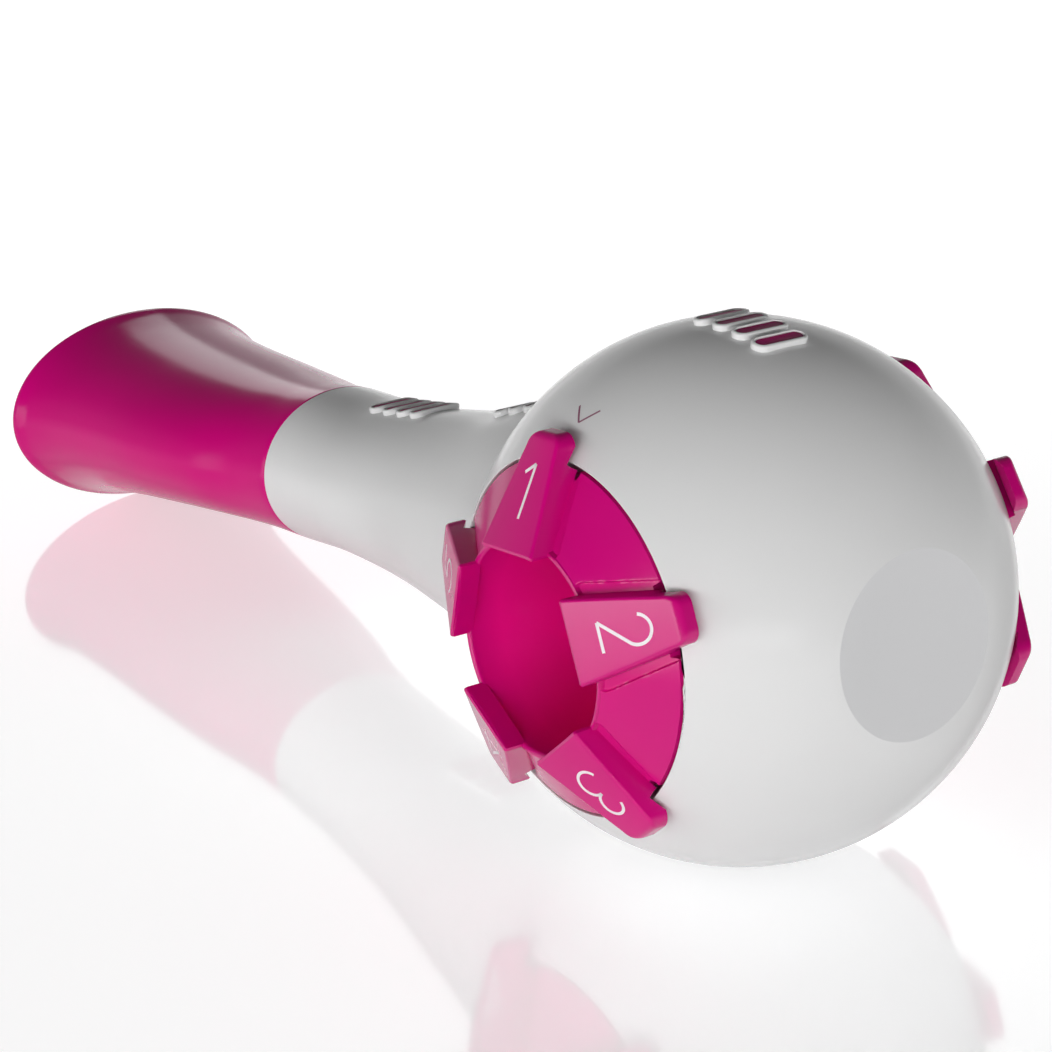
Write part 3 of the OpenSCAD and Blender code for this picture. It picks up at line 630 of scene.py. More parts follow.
class TRAINER_OT_ball(bpy.types.Operator):
    """Make the two halves of the ball's shell and the cap that fills its flat"""
    bl_idname = "trainer.ball"
    bl_label = "Ball"

    def execute(self, context):
        z, get = Sizes(context.scene), finishes(context.scene)
        for up, name in ((True, "upper"), (False, "lower")):
            shape = half_ball(z, up)
            for side in (EXHALE, INHALE):
                port_shelf(z, shape, side, up)
            make_piece(f"ball_{name}_shell", shape, laid(z), "housing",
                       get("shell_gloss"), [f"housing_{name}"], place_normals=turn_only(z))
        make_piece("flat_cap", flat_cap(z), laid(z), "housing",
                   get("cap_satin"), ["end_cap"])
        return {"FINISHED"}


# Neck and mouthpiece

class TRAINER_OT_neck(bpy.types.Operator):
    """Make the neck with its hollow blend, its spigot and its plug"""
    bl_idname = "trainer.neck"
    bl_label = "Neck"

    def execute(self, context):
        z, get = Sizes(context.scene), finishes(context.scene)
        around = 192
        turn = np.linspace(z.touch_turn, z.root_turn, 17)[:-1]
        blend_r = z.blend_out - z.blend_r * np.cos(turn)
        blend = oval_rings(z.blend_x - z.blend_r * np.sin(turn), blend_r, blend_r, around)
        x = np.linspace(z.root_x, z.neck_len, 72)
        a, b = neck_sizes(x, z)
        skin = np.concatenate([blend, oval_rings(x, a, b, around)])
        normals = ring_normals(skin)
        normals[0] = skin[0] / np.linalg.norm(skin[0], axis=-1, keepdims=True)
        # Inside the skin: the spigot with the groove of its band, the bore, then the plug
        half_band, cut, bevel, flange = 1.5, 0.7, 0.3, 1.2
        low, high = z.band_x - half_band, z.band_x + half_band
        sa, sb = z.spigot_a, z.spigot_b
        tail = np.array([
            (z.neck_len, sa, sb), (low, sa, sb), (low, sa - cut, sb - cut),
            (high, sa - cut, sb - cut), (high, sa, sb), (z.spigot_end - bevel, sa, sb),
            (z.spigot_end, sa - bevel, sb - bevel), (z.spigot_end, z.duct_a, z.duct_b),
            (z.neck_len - z.wall, z.duct_a, z.duct_b)])
        xb = x[::-3][1:]
        ab, bb = neck_sizes(xb, z)
        bore = np.stack([xb, ab - z.wall, bb - z.wall], -1)
        bore = bore[(bore[:, 0] < z.neck_len - z.wall * 2) & (bore[:, 0] > z.root_x + 2)]
        plug_bore = z.plug_r - z.spigot_wall
        plug = np.array([
            (z.root_x, plug_bore, plug_bore), (z.plug_x - flange, plug_bore, plug_bore),
            (z.plug_x - flange, z.plug_flange_r, z.plug_flange_r),
            (z.plug_x, z.plug_flange_r, z.plug_flange_r), (z.plug_x, z.plug_r, z.plug_r),
            (z.touch_x, z.plug_r, z.plug_r)])
        rest = np.concatenate([tail, bore, plug])
        rings = np.concatenate([skin, oval_rings(rest[:, 0], rest[:, 1], rest[:, 2], around)])
        shade = np.concatenate([normals, np.zeros((len(rest), around, 3))])
        given = np.zeros(len(rings), bool)
        given[:len(skin) - 1] = True
        shape = Shape()
        shape.add_rings(rings, closed_path=True, normals=shade, given_rows=given)
        add_neck_pads(shape, z, context.scene)
        make_piece("neck_skin", shape, laid(z), "housing",
                   get("shell_gloss"), ["neck"], place_normals=turn_only(z))
        return {"FINISHED"}


class TRAINER_OT_mouthpiece(bpy.types.Operator):
    """Make the pull-off mouthpiece with its beaded lip"""
    bl_idname = "trainer.mouthpiece"
    bl_label = "Mouthpiece"

    def execute(self, context):
        z, get = Sizes(context.scene), finishes(context.scene)
        around = 192
        t = np.linspace(0, 1, 96)
        a, b = mouth_sizes(t, z)
        x = z.neck_len + t * (z.lip_x - z.neck_len)
        # The seam's rounded edge, the skin, the lip's bead, the bore and the spigot's socket
        front = z.neck_len + z.seat_gap
        edge = 0.18
        corner = edge * 0.3
        start = np.array([(front, a[0] - edge, b[0] - edge),
                          (front + corner, a[0] - corner, b[0] - corner),
                          (front + edge, a[0], b[0])])
        skin = np.stack([x, a, b], -1)[1:]
        turn = np.radians(np.linspace(90, -90, 15))[1:-1]
        bead = np.stack([z.lip_x + z.bead_r * np.cos(turn),
                         z.lip_w / 2 - z.bead_r + z.bead_r * np.sin(turn),
                         z.lip_h / 2 - z.bead_r + z.bead_r * np.sin(turn)], -1)
        end = (z.spigot_len + z.sleeve_wall) / (z.lip_x - z.neck_len)
        ti = np.linspace(1, end, 48)
        ai, bi = mouth_sizes(ti, z)
        bore = np.stack([z.neck_len + ti * (z.lip_x - z.neck_len), ai - z.sleeve_wall,
                         bi - z.sleeve_wall], -1)
        inner_a, inner_b = z.spigot_a + z.fit, z.spigot_b + z.fit
        stop = z.spigot_end + z.seat_gap
        socket = np.array([(stop, z.duct_a, z.duct_b), (stop, inner_a, inner_b),
                           (front, inner_a, inner_b)])
        path = np.concatenate([start, skin, bead, bore, socket])
        shape = Shape()
        shape.add_rings(oval_rings(path[:, 0], path[:, 1], path[:, 2], around),
                        closed_path=True)
        make_piece("mouthpiece_skin", shape, laid(z), "mouthpiece",
                   get("mouthpiece_gloss"), ["mouthpiece"])
        return {"FINISHED"}


# Grip ribs

RIB_SINK = 0.5  # mm that a rib reaches below the skin
BALL_RIBS_TURN = -8  # degrees from the ball's top, positive towards the neck


def stadium(len_y, width, around):
    """Outline of a stadium: two half circles joined by straight sides, from +X round."""
    r, half = width / 2, (len_y - width) / 2
    per = around // 2
    a = np.linspace(0, math.pi, per)
    top = np.stack([r * np.cos(a), r * np.sin(a) + half], -1)
    return np.concatenate([top, -top])


def pad_rows(z_rows, len_y, width, around):
    """Stacked stadiums: each row gives how far the outline is drawn in, and its height."""
    return np.stack([np.concatenate([stadium(len_y - 2 * s, width - 2 * s, around),
                                     np.full((around, 1), h)], -1) for s, h in z_rows])


def rib_pads(ribs, on_skin):
    """Closed solids of the white pads of one group, with a pocket for each inlay. Each row
    holds how far the outline is drawn in, and its height."""
    h, rim = ribs.rib_h / MM, ribs.rim / MM
    rows = [(0, -RIB_SINK), (0, h - 0.22), (0.03, h - 0.1), (0.1, h - 0.03), (0.2, h),
            (rim - 0.05, h), (rim, h - 0.05), (rim, -RIB_SINK + 0.12)]
    return rib_group(ribs, rows, on_skin)


def rib_inlays(ribs, on_skin):
    """Closed solids of the inlays, crowned a little below the pads' tops."""
    h, rim = ribs.rib_h / MM, ribs.rim / MM + 0.05
    rows = [(rim, -RIB_SINK + 0.16), (rim, h - 0.2), (rim + 0.08, h - 0.13),
            (rim + 0.3, h - 0.12)]
    return rib_group(ribs, rows, on_skin)


def rib_group(ribs, rows, on_skin):
    """The same solid for every rib of a group, side by side."""
    shape = Shape()
    pitch = ribs.pitch / MM
    for i in range(ribs.count):
        pad = pad_rows(rows, ribs.rib_len / MM, ribs.rib_w / MM, 64)
        pad[..., 0] += pitch * (i - (ribs.count - 1) / 2)
        shape.add_rings(on_skin(pad), poles=(True, True))
    return shape


def on_ball(z):
    """Lays a flat pattern on the ball: x turns about Y, y turns about X, height is added."""
    def place(p):
        u = p[..., 0] / z.ball_r + math.radians(BALL_RIBS_TURN)
        v = p[..., 1] / z.ball_r
        r = z.ball_r + p[..., 2]
        return np.stack([r * np.sin(u) * np.cos(v), r * np.sin(v),
                         r * np.cos(u) * np.cos(v)], -1)
    return place


def on_neck(z, x0, up):
    """Lays a flat pattern on the neck: y follows the ellipse at x, and the height is added
    along the skin's normal in the cross-section and along the axis."""
    step = 0.5

    def place(p):
        x = x0 + p[..., 0]
        a, b = neck_sizes(x, z)
        _, b_next = neck_sizes(x + step, z)
        v = p[..., 1] / a
        y, h = a * np.sin(v), b * np.cos(v)
        lean = -(b_next - b) / step * np.cos(v) * (1 / b)
        n = np.stack([lean, np.sin(v) / a, np.cos(v) / b], -1)
        n /= np.linalg.norm(n, axis=-1, keepdims=True)
        q = np.stack([x, y, h], -1) + n * p[..., 2:3]
        return q if up else q * np.array([1, 1, -1.0])
    return place


# Each grip group, the share of the neck's length where it lies and whether it is on top. The
# ball's own group has no share
GRIP_GROUPS = (("ball", None, True), ("neck", 0.775, True), ("shoulder", 0.43, True),
               ("under", 0.6, False))


def grip_place(z, share, up):
    """How a grip group is laid on its skin."""
    return on_ball(z) if share is None else on_neck(z, z.neck_len * share, up)


def add_neck_pads(shape, z, scene):
    """Adds the pads of the neck's grip groups to its skin."""
    for _, share, up in GRIP_GROUPS[1:]:
        shape.merge(rib_pads(scene.trainer_ribs, grip_place(z, share, up)))


class TRAINER_OT_ribs(bpy.types.Operator):
    """Make the ball's own pads and the inlays of every grip group"""
    bl_idname = "trainer.ribs"
    bl_label = "Grip ribs"

    def execute(self, context):
        scene = context.scene
        z, get = Sizes(scene), finishes(scene)
        make_piece("ball_grip_pads", rib_pads(scene.trainer_ribs, on_ball(z)), laid(z),
                   "housing", get("shell_gloss"))
        for name, share, up in GRIP_GROUPS:
            shape = rib_inlays(scene.trainer_ribs, grip_place(z, share, up))
            make_piece(f"{name}_grip_inlay_set", shape, laid(z), "housing",
                       get("inlay_soft"), [f"{name}_grip_inlays"])
        return {"FINISHED"}


# Dials

class Dial:
    """Sizes of one dial, in its own frame with +Z outward."""

    def __init__(self, z, side):
        out = side == EXHALE
        self.side, self.z = side, z
        self.n = z.exhale_settings if out else z.inhale_settings
        self.opening = z.exhale_opening if out else z.inhale_opening
        self.bore = z.exhale_bore if out else z.inhale_bore
        self.floor_u = z.exhale_floor if out else z.inhale_floor
        # Lug: how far its tip is past the opening and over the ball, and its width at both ends
        self.reach, self.rise = (2.5, 3.4) if out else (2.3, 3.0)
        self.lug_w, self.tip_w = (8.0, 4.6) if out else (7.8, 5.4)
        # Floor: the widest hole and the step to the next. Digits: height, line and first place
        self.hole, self.step = (5.6, 0.8) if out else (4.6, 0.5)
        self.digit_h, self.digit_line, self.digit_foot = (5.1, 0.3, 2.35) if out else (4.6, 0.28, 1.9)
        self.rim, self.wall, self.skirt, self.floor = z.rim_out, DIAL_WALL, 1.2, 1.6
        self.edge = self.opening - z.dial_gap
        self.edge_u = dome(z.ball_r, self.opening)
        self.tube = self.bore + self.wall
        self.bevel = self.wall / 4
        self.start = self.bore + self.bevel
        self.slope = (self.rim - self.edge_u) / (self.edge - self.start)
        self.top = self.rim + z.lug_h
        self.tip = self.opening + self.reach
        self.tip_top = dome(z.ball_r, self.tip) + self.rise
        self.lug_slope = (self.top - self.tip_top) / (self.tip - self.bore)
        self.tray, self.tray_depth = z.lug_h / 2, self.skirt * 0.3
        self.corner = self.tip_w * 0.28
        self.turns = math.pi / 2 - TAU * np.arange(self.n) / self.n

    def cone(self, r):
        """Height of the sloping skirt at radius r."""
        return self.rim - (r - self.start) * self.slope

    def cavity(self, points):
        """1 on the bore's wall, fading to 0 at its rim, and 0 everywhere else. It marks where the
        dial's tint is painted brighter, as painted light for the light that bounces round inside the
        bore.
        """
        below_rim, fade, slack = 0.3, 1.5, 0.02
        r = np.hypot(points[:, 0], points[:, 1])
        depth = (self.rim - below_rim - points[:, 2]) / fade
        return np.where(r < self.bore + slack, np.clip(depth, 0, 1), 0.0).astype(np.float32)

    def half_width(self, x):
        """Half width of a lug at distance x from the axis."""
        share = np.clip((x - self.bore) / (self.tip - self.corner - self.bore), 0, 1)
        return self.lug_w / 2 + share * (self.tip_w - self.lug_w) / 2


def soft_step(value, width):
    """0 below -width / 2, 1 above width / 2, and a smooth cubic between."""
    t = np.clip(value / width + 0.5, 0, 1)
    return t * t * (3 - 2 * t)


def tray_distance(d, r, a):
    """Distance in millimetres from a point of the skirt to the outline of a tray beside a
    lug, positive inside the tray."""
    best = np.full(np.broadcast(r, a).shape, OUTSIDE)
    corner = 0.5
    for turn in d.turns:
        x, y = r * np.cos(a - turn), r * np.sin(a - turn)
        side = d.half_width(x) + d.tray - np.abs(y)
        inner = r - (d.bore + d.tray * 0.6)
        # Distance inside a rounded corner between the inner end and the flank
        cx, cy = np.maximum(corner - inner, 0), np.maximum(corner - side, 0)
        inside = np.where((cx > 0) & (cy > 0), corner - np.hypot(cx, cy), np.minimum(side, inner))
        best = np.maximum(best, np.where(x > 0, inside, OUTSIDE))
    return best


def dial_shell(d):
    """Revolved tube and skirt, with the trays pressed into the skirt's top and the rim cut
    back in a notch beside each lug. Rows run from the floor, up the bore, over the skirt,
    round its edge and back under it."""
    around = 960
    a = np.arange(around) / around * TAU

    def level(rows):
        """Radius and height of rows that are the same all the way round."""
        table = np.array(rows)
        return np.repeat(table[:, :1], around, 1), np.repeat(table[:, 1:], around, 1)

    foot, edge_drop, notch_wall, tray_wall = 0.5, 0.16, 0.14, 0.16
    rows = [(d.bore - foot + foot * math.sin(q), d.floor_u + foot - foot * math.cos(q))
            for q in np.radians(np.linspace(0, 90, 5))]
    rows += [(d.bore, u) for u in np.linspace(d.floor_u + 2, d.rim - d.bevel * 2.2, 5)]
    rows += [(d.bore + d.bevel * (1 - math.cos(q)), d.rim - d.bevel + d.bevel * math.sin(q))
             for q in np.radians(np.linspace(0, 72, 6))]
    # Flat lip round the bore, and the slope that starts a little below it
    rows += [(d.bore + LIP_WIDTH - 0.1, d.rim), (d.bore + LIP_WIDTH, d.rim - 0.05)]
    bore_r, bore_u = level(rows)
    # The skirt's edge steps back at each notch
    beside = np.full(around, OUTSIDE)
    for turn in d.turns:
        y = np.abs(d.edge * np.sin(a - turn))
        w = d.half_width(d.edge) + d.tray - y
        beside = np.maximum(beside, np.where(np.cos(a - turn) > 0, w, OUTSIDE))
    edge = d.edge - d.tray * soft_step(beside - 0.05, notch_wall)
    first = d.bore + LIP_WIDTH + 0.06
    skirt_r = first + np.linspace(0, 1, 44)[:, None] * (edge - first)
    inside = tray_distance(d, skirt_r, a[None, :])
    skirt_u = d.cone(skirt_r) - d.tray_depth * soft_step(inside, tray_wall)
    # Three rows down the outer edge
    edge_r = np.repeat(edge[None, :], 3, 0)
    edge_u = np.concatenate([skirt_u[-1:] - edge_drop, skirt_u[-1:] - d.skirt * 0.5,
                             np.full((1, around), d.edge_u - d.skirt)])
    under, low = d.cone(d.tube) - d.skirt, d.floor_u - d.floor
    tail_r, tail_u = level([(d.tube, under), (d.tube, (under + d.floor_u) / 2), (d.tube, low),
                            (d.bore - foot, low)])
    r = np.concatenate([bore_r, skirt_r, edge_r, tail_r])
    u = np.concatenate([bore_u, skirt_u, edge_u, tail_u])
    shape = Shape()
    shape.add_rings(np.stack([r * np.cos(a), r * np.sin(a), u], -1), closed_path=True)
    return shape


def lug_solid(d, turn):
    """A lug as a rounded section carried outward. Its inner end lies on the bore's cylinder,
    its top is one plane, its tip is rounded in plan and along its top edge."""
    x_in = d.bore + 0.1
    tip_round, edge_round = d.z.lug_h / 3, 0.32
    corner_x = d.tip - d.corner
    xs = np.concatenate([np.linspace(0, 1, 26)[:-1] * (corner_x - x_in) + x_in,
                         corner_x + d.corner * np.sin(np.linspace(0, math.pi / 2, 14))])
    half = d.half_width(xs)
    over = np.clip((xs - corner_x) / d.corner, 0, 1)
    half = half - d.corner * (1 - np.sqrt(np.maximum(1 - over ** 2, 0.0)))
    half = np.maximum(half, d.tip_w / 2 - d.corner)
    # The inner end is drawn in a little, so that its edges are rounded
    back = np.clip((xs - x_in) / edge_round, 0, 1)
    drawn_in = edge_round * 0.6 * (1 - np.sqrt(1 - (1 - back) ** 2))
    half = half - drawn_in
    drop_tip = np.clip((xs - (d.tip - tip_round)) / tip_round, 0, 1)
    # Inside the skirt's edge the underside sinks into it, and past it a gap stays to the ball
    foot, sink, way = d.edge - 0.25, 0.6, 0.3
    free = np.clip((xs - foot) / way, 0, 1)
    low_in = d.cone(np.minimum(xs, d.edge)) - sink
    low_out = dome(d.z.ball_r, xs) + d.z.lug_gap
    low = low_in + free * np.maximum(low_out - low_in, 0)
    # Section: up one side, over the rounded shoulders, down the other, with a closed bottom
    q = np.linspace(0, math.pi / 2, 6)
    shoulder = np.stack([1 - np.cos(q), 1 - np.sin(q)], -1)
    cols = 2 * len(q) + 2
    y = np.empty((len(xs), cols))
    top_drop = np.zeros((len(xs), cols))
    y[:, 0], y[:, -1] = half, -half
    for i, (sx, sy) in enumerate(shoulder):
        y[:, 1 + i] = half - edge_round * sx
        y[:, cols - 2 - i] = -(half - edge_round * sx)
        top_drop[:, 1 + i] = top_drop[:, cols - 2 - i] = edge_round * sy
    # Rows bend from the bore's cylinder to straight ones on the way out
    span = np.clip((xs - x_in) / (d.tip - x_in), 0, 1)[:, None]
    x = xs[:, None] + (dome(x_in, y) - x_in) * (1 - soft_step(span - 0.35, 0.7))
    top = d.top - (x - d.bore) * d.lug_slope - top_drop
    top = top - (tip_round * (1 - np.sqrt(1 - drop_tip ** 2)))[:, None]
    top = top - drawn_in[:, None]
    u = top.copy()
    u[:, 0] = u[:, -1] = low
    c, s = math.cos(turn), math.sin(turn)
    rings = np.stack([x * c - y * s, x * s + y * c, u], -1)
    shape = Shape()
    shape.add_rings(rings, poles=(True, True))
    return shape


def floor_plate(d, name):
    """Floor of a dial: a disc with the axle hole and the graded holes, drawn as flat circles
    that are filled and made a mesh before they are placed."""
    curve = bpy.data.curves.new(name, "CURVE")
    curve.dimensions, curve.fill_mode = "2D", "BOTH"
    curve.extrude = d.floor / 2 * MM
    hub, axle_r, overlap = 2.2, 1.56, 0.4
    ring = (d.bore + hub) / 2 - 0.05
    circles = [(0, 0, d.bore + overlap), (0, 0, axle_r)]
    circles += [(ring * math.cos(t), ring * math.sin(t), (d.hole - k * d.step) / 2)
                for k, t in enumerate(d.turns)]
    for cx, cy, r in circles:
        count = 96 if r > 5 else 48
        spline = curve.splines.new("POLY")
        spline.points.add(count - 1)
        a = np.arange(count) / count * TAU
        flat = np.stack([cx + r * np.cos(a), cy + r * np.sin(a), 0 * a, 0 * a + 1000], -1) * MM
        spline.points.foreach_set("co", flat.ravel())
        spline.use_cyclic_u = True
    holder = bpy.data.objects.new(name, curve)
    bpy.context.scene.collection.objects.link(holder)
    bpy.context.view_layer.update()
    mesh = bpy.data.meshes.new_from_object(holder.evaluated_get(
        bpy.context.evaluated_depsgraph_get()))
    bpy.data.objects.remove(holder)
    co = np.empty(len(mesh.vertices) * 3)
    mesh.vertices.foreach_get("co", co)
    co = co.reshape(-1, 3) / MM + np.array([0, 0, d.floor_u - d.floor / 2])
    mesh.vertices.foreach_set("co", (laid_side(d.side, d.z)(co) * MM).ravel())
    mesh.update()
    return mesh


def arc(cx, cy, rx, ry, start, end, count=28):
    """Points on an ellipse from one angle to another, in degrees."""
    a = np.radians(np.linspace(start, end, count))
    return np.stack([cx + rx * np.cos(a), cy + ry * np.sin(a)], -1)


def chain(*points):
    """Straight run through the given points, with a few points on each stretch."""
    p = np.array(points, float)
    t = np.linspace(0, len(p) - 1, (len(p) - 1) * 6 + 1)
    i = np.minimum(t.astype(int), len(p) - 2)
    return p[i] + (t - i)[:, None] * (p[i + 1] - p[i])


def digit_strokes(number):
    """Centre lines of a digit, in a box 0.56 wide and 1 high."""
    if number == 1:
        return [chain((0.10, 0.82), (0.33, 1.0)), chain((0.33, 1.0), (0.33, 0.0))]
    if number == 2:
        top = arc(0.28, 0.72, 0.26, 0.28, 165, -38)
        return [top, chain(top[-1], (0.03, 0.0)), chain((0.03, 0.0), (0.56, 0.0))]
    if number == 3:
        return [arc(0.27, 0.76, 0.23, 0.24, 160, -90), arc(0.27, 0.26, 0.27, 0.26, 90, -160)]
    if number == 4:
        return [chain((0.42, 0.0), (0.42, 1.0)), chain((0.42, 1.0), (0.0, 0.28)),
                chain((0.0, 0.28), (0.58, 0.28))]
    if number == 5:
        return [chain((0.50, 1.0), (0.13, 1.0)), chain((0.13, 1.0), (0.08, 0.58)),
                arc(0.26, 0.31, 0.28, 0.31, 128, -150)]
    return [arc(0.28, 0.29, 0.27, 0.29, 0, 360, 48),
            arc(0.62, 0.34, 0.61, 0.66, 172, 110)]


def ribbon(shape, path, up, width, thick):
    """A thin bar of rectangular section along a path on a surface. path and up hold the
    points and the outward normals."""
    along = np.gradient(path, axis=0)
    side = np.cross(along, up)
    side /= np.linalg.norm(side, axis=1, keepdims=True)
    w, t = side * width / 2, up * thick
    rings = np.stack([path - w - t, path + w - t, path + w + t, path - w + t], 1)
    shape.add_rings(rings, poles=(True, True))


def digits_on(d):
    """Digits 1, 2, 3 ... on the tops of the lugs, read from outside with their feet at the
    bore."""
    shape = Shape()
    middle, proud = 0.28, 0.02
    foot = d.bore + d.digit_foot
    tilt = math.atan(d.lug_slope)
    for k, turn in enumerate(d.turns):
        out = np.array([math.cos(turn), math.sin(turn)])
        right = np.array([math.sin(turn), -math.cos(turn)])
        up = np.array([out[0] * math.sin(tilt), out[1] * math.sin(tilt), math.cos(tilt)])
        for stroke in digit_strokes(k + 1):
            along = stroke[:, 1] * d.digit_h * math.cos(tilt) + foot
            across = (stroke[:, 0] - middle) * d.digit_h
            flat = along[:, None] * out + across[:, None] * right
            top = d.top - (along - d.bore) * d.lug_slope
            path = np.concatenate([flat, top[:, None]], 1)
            ribbon(shape, path, np.repeat(up[None], len(path), 0), d.digit_line, proud)
    return shape


class TRAINER_OT_dials(bpy.types.Operator):
    """Make both dials with their lugs, trays, floors and digits"""
    bl_idname = "trainer.dials"
    bl_label = "Dials"

    def execute(self, context):
        scene = context.scene
        z, get = Sizes(scene), finishes(scene)
        for side, name in ((EXHALE, "exhale"), (INHALE, "inhale")):
            d = Dial(z, side)
            place = laid_side(side, z)
            shape = dial_shell(d)
            for turn in d.turns:
                shape.merge(lug_solid(d, turn))
            body = f"{name}_dial"
            make_piece(f"{name}_dial_skin", shape, place, body,
                       get("dial_satin"), [f"{name}_dial"], sharp=32.0, cavity=d.cavity)
            floor = f"{name}_dial_floor"
            add_piece(floor, floor_plate(d, floor), body, get("dial_satin"))
            make_piece(f"{name}_dial_digits", digits_on(d), place, body,
                       get("digit_print"))
        return {"FINISHED"}


# Setting arrow: its half width, how high it is, how far its tip is from a dial's axis on
# either side, the width of its line and how proud it is
ARROW_W, ARROW_H = 1.55, 1.05
ARROW_TIP = {EXHALE: 19.55, INHALE: 18.15}
ARROW_LINE, ARROW_PROUD = 0.2, 0.012


class TRAINER_OT_marks(bpy.types.Operator):
    """Draw the small open arrow on the ball that a dial's setting is read against"""
    bl_idname = "trainer.marks"
    bl_label = "Setting arrows"

    def execute(self, context):
        scene = context.scene
        z, get = Sizes(scene), finishes(scene)
        for side, name in ((EXHALE, "exhale"), (INHALE, "inhale")):
            shape = Shape()
            a = np.linspace(0, 1, 12)
            for s in (-1, 1):
                # From the tip up and outward on the sphere, in the dial's own frame
                p = np.stack([s * ARROW_W * a, ARROW_TIP[side] + ARROW_H * a, 0 * a], -1)
                p[:, 2] = dome(z.ball_r, np.hypot(p[:, 0], p[:, 1]))
                ribbon(shape, p, p / z.ball_r, ARROW_LINE, ARROW_PROUD)
            make_piece(f"{name}_arrow", shape, laid_side(side, z), "housing",
                       get("mark_print"))
        return {"FINISHED"}


# Inner parts

# Words in the names of the inner parts, and the finish of each
INNER_FINISH = (("cartridge", "insert_plastic"), ("valve_seat", "insert_plastic"),
                ("valve_cap", "insert_plastic"), ("valve_disc", "valve_silicone"),
                ("gasket", "seal_rubber_black"), ("seal", "seal_rubber_black"),
                ("axle_screw", "screw_steel"), ("spring_washer", "screw_steel"),
                ("click", "screw_steel"))


class TRAINER_OT_inner(bpy.types.Operator):
    """Give the bearings, valves, seals, screws and click parts their finish"""
    bl_idname = "trainer.inner"
    bl_label = "Inner parts"

    def execute(self, context):
        get = finishes(context.scene)
        for name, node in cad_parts.items():
            for part, finish in INNER_FINISH:
                if part in name:
                    node.data.materials.clear()
                    node.data.materials.append(get(finish))
                    break
        return {"FINISHED"}


# Stage

# How much the table top is lifted towards white for the camera, and the share of it that
# mirrors see
FLOOR_LIFT = 0.53
MIRRORED_LIFT = 0.75
# Brightness of the surround by height over the horizon, as light and as seen in mirrors
LIGHT_STOPS = ((0.0, 1.0), (1.0, 0.01), (0.20, 0.97), (0.36, 0.06))
MIRROR_STOPS = ((0.0, 0.75), (1.0, 0.05), (0.22, 0.55), (0.40, 0.10))
# Share of the surround that mirrors see: to the camera's left and right, and how much it grows
# from there to straight away from the camera
MIRROR_MIDDLE, MIRROR_TURN = 0.20, 0.75
# Camera: how far round from behind the ball and how high, the ball's centre in the camera's
# own axes in ball radii, the focal length in photo widths and the sensor's width in mm
CAMERA_ROUND, CAMERA_HIGH = 35.108, 21.177
BALL_IN_VIEW = (0.7715, 0.2303, 10.436)
FOCAL = 2880.2 / 1052
SENSOR = 36.0
# Lamps: name, place, the point it looks at, size in metres, and power in watts
LAMPS = (("front_low", (-1.60, 1.35, 0.14), (-0.04, 0, 0.03), (2.1, 0.26), 24),
         ("back_low", (1.75, -1.25, 0.14), (-0.04, 0, 0.03), (2.1, 0.26), 18),
         ("right_low", (-1.25, -1.65, 0.14), (-0.04, 0, 0.03), (2.1, 0.26), 7),
         ("side_left", (0.10, 2.05, 0.27), (0, 0, 0.03), (2.4, 0.5), 12))
# The window that only the mouthpiece mirrors, and its turn about its own axis in degrees
WINDOW = ("back_window", (1.86, -0.79, 0.53), (0.08, 0, 0.03), (0.44, 1.0), 2.1)
WINDOW_TURN = 20
# The four cards that only the table top mirrors: distance, height, size and power
CARD_AWAY, CARD_HIGH, CARD_SIZE, CARD_POWER = 2.7, 1.5, (3.6, 2.4), 26
TABLE_REACH = 6.0


def studio_world():
    """Surround that is bright near the horizon and dark overhead. In mirrors it is darker on
    the camera's side, and the camera itself sees plain white."""
    world = bpy.data.worlds.new("studio")
    world.use_nodes = True
    bpy.context.scene.world = world
    n = Nodes(world.node_tree)
    view = n.node("ShaderNodeTexCoord").outputs["Generated"]
    split = n.node("ShaderNodeSeparateXYZ")
    n.feed(view, split.inputs[0])

    def fall(stops):
        """Grey by height over the horizon."""
        ramp = n.node("ShaderNodeValToRGB")
        points = ramp.color_ramp.elements
        for k, (place, grey) in enumerate(stops):
            point = points.new(place) if k > 1 else points[k]
            point.position, point.color = place, (grey, grey, grey, 1)
        n.feed(split.outputs["Z"], ramp.inputs[0])
        return ramp.outputs["Color"]

    away = n.node("ShaderNodeVectorMath", operation="DOT_PRODUCT")
    turn = math.radians(CAMERA_ROUND)
    n.feed(view, away.inputs[0])
    n.feed((math.cos(turn), -math.sin(turn), 0.0), away.inputs[1])
    share = n.maths("MULTIPLY_ADD", away.outputs["Value"], MIRROR_TURN, MIRROR_MIDDLE,
                    use_clamp=True)
    mirrored = n.node("ShaderNodeVectorMath", operation="SCALE")
    n.feed(fall(MIRROR_STOPS), mirrored.inputs[0])
    n.feed(share, mirrored.inputs["Scale"])
    path = n.node("ShaderNodeLightPath").outputs
    lit = n.mix(path["Is Glossy Ray"], fall(LIGHT_STOPS), mirrored.outputs[0])
    back = n.tree.nodes["Background"]
    n.feed(n.mix(path["Is Camera Ray"], lit, (1, 1, 1)), back.inputs["Color"])
    n.feed(1.0, back.inputs["Strength"])


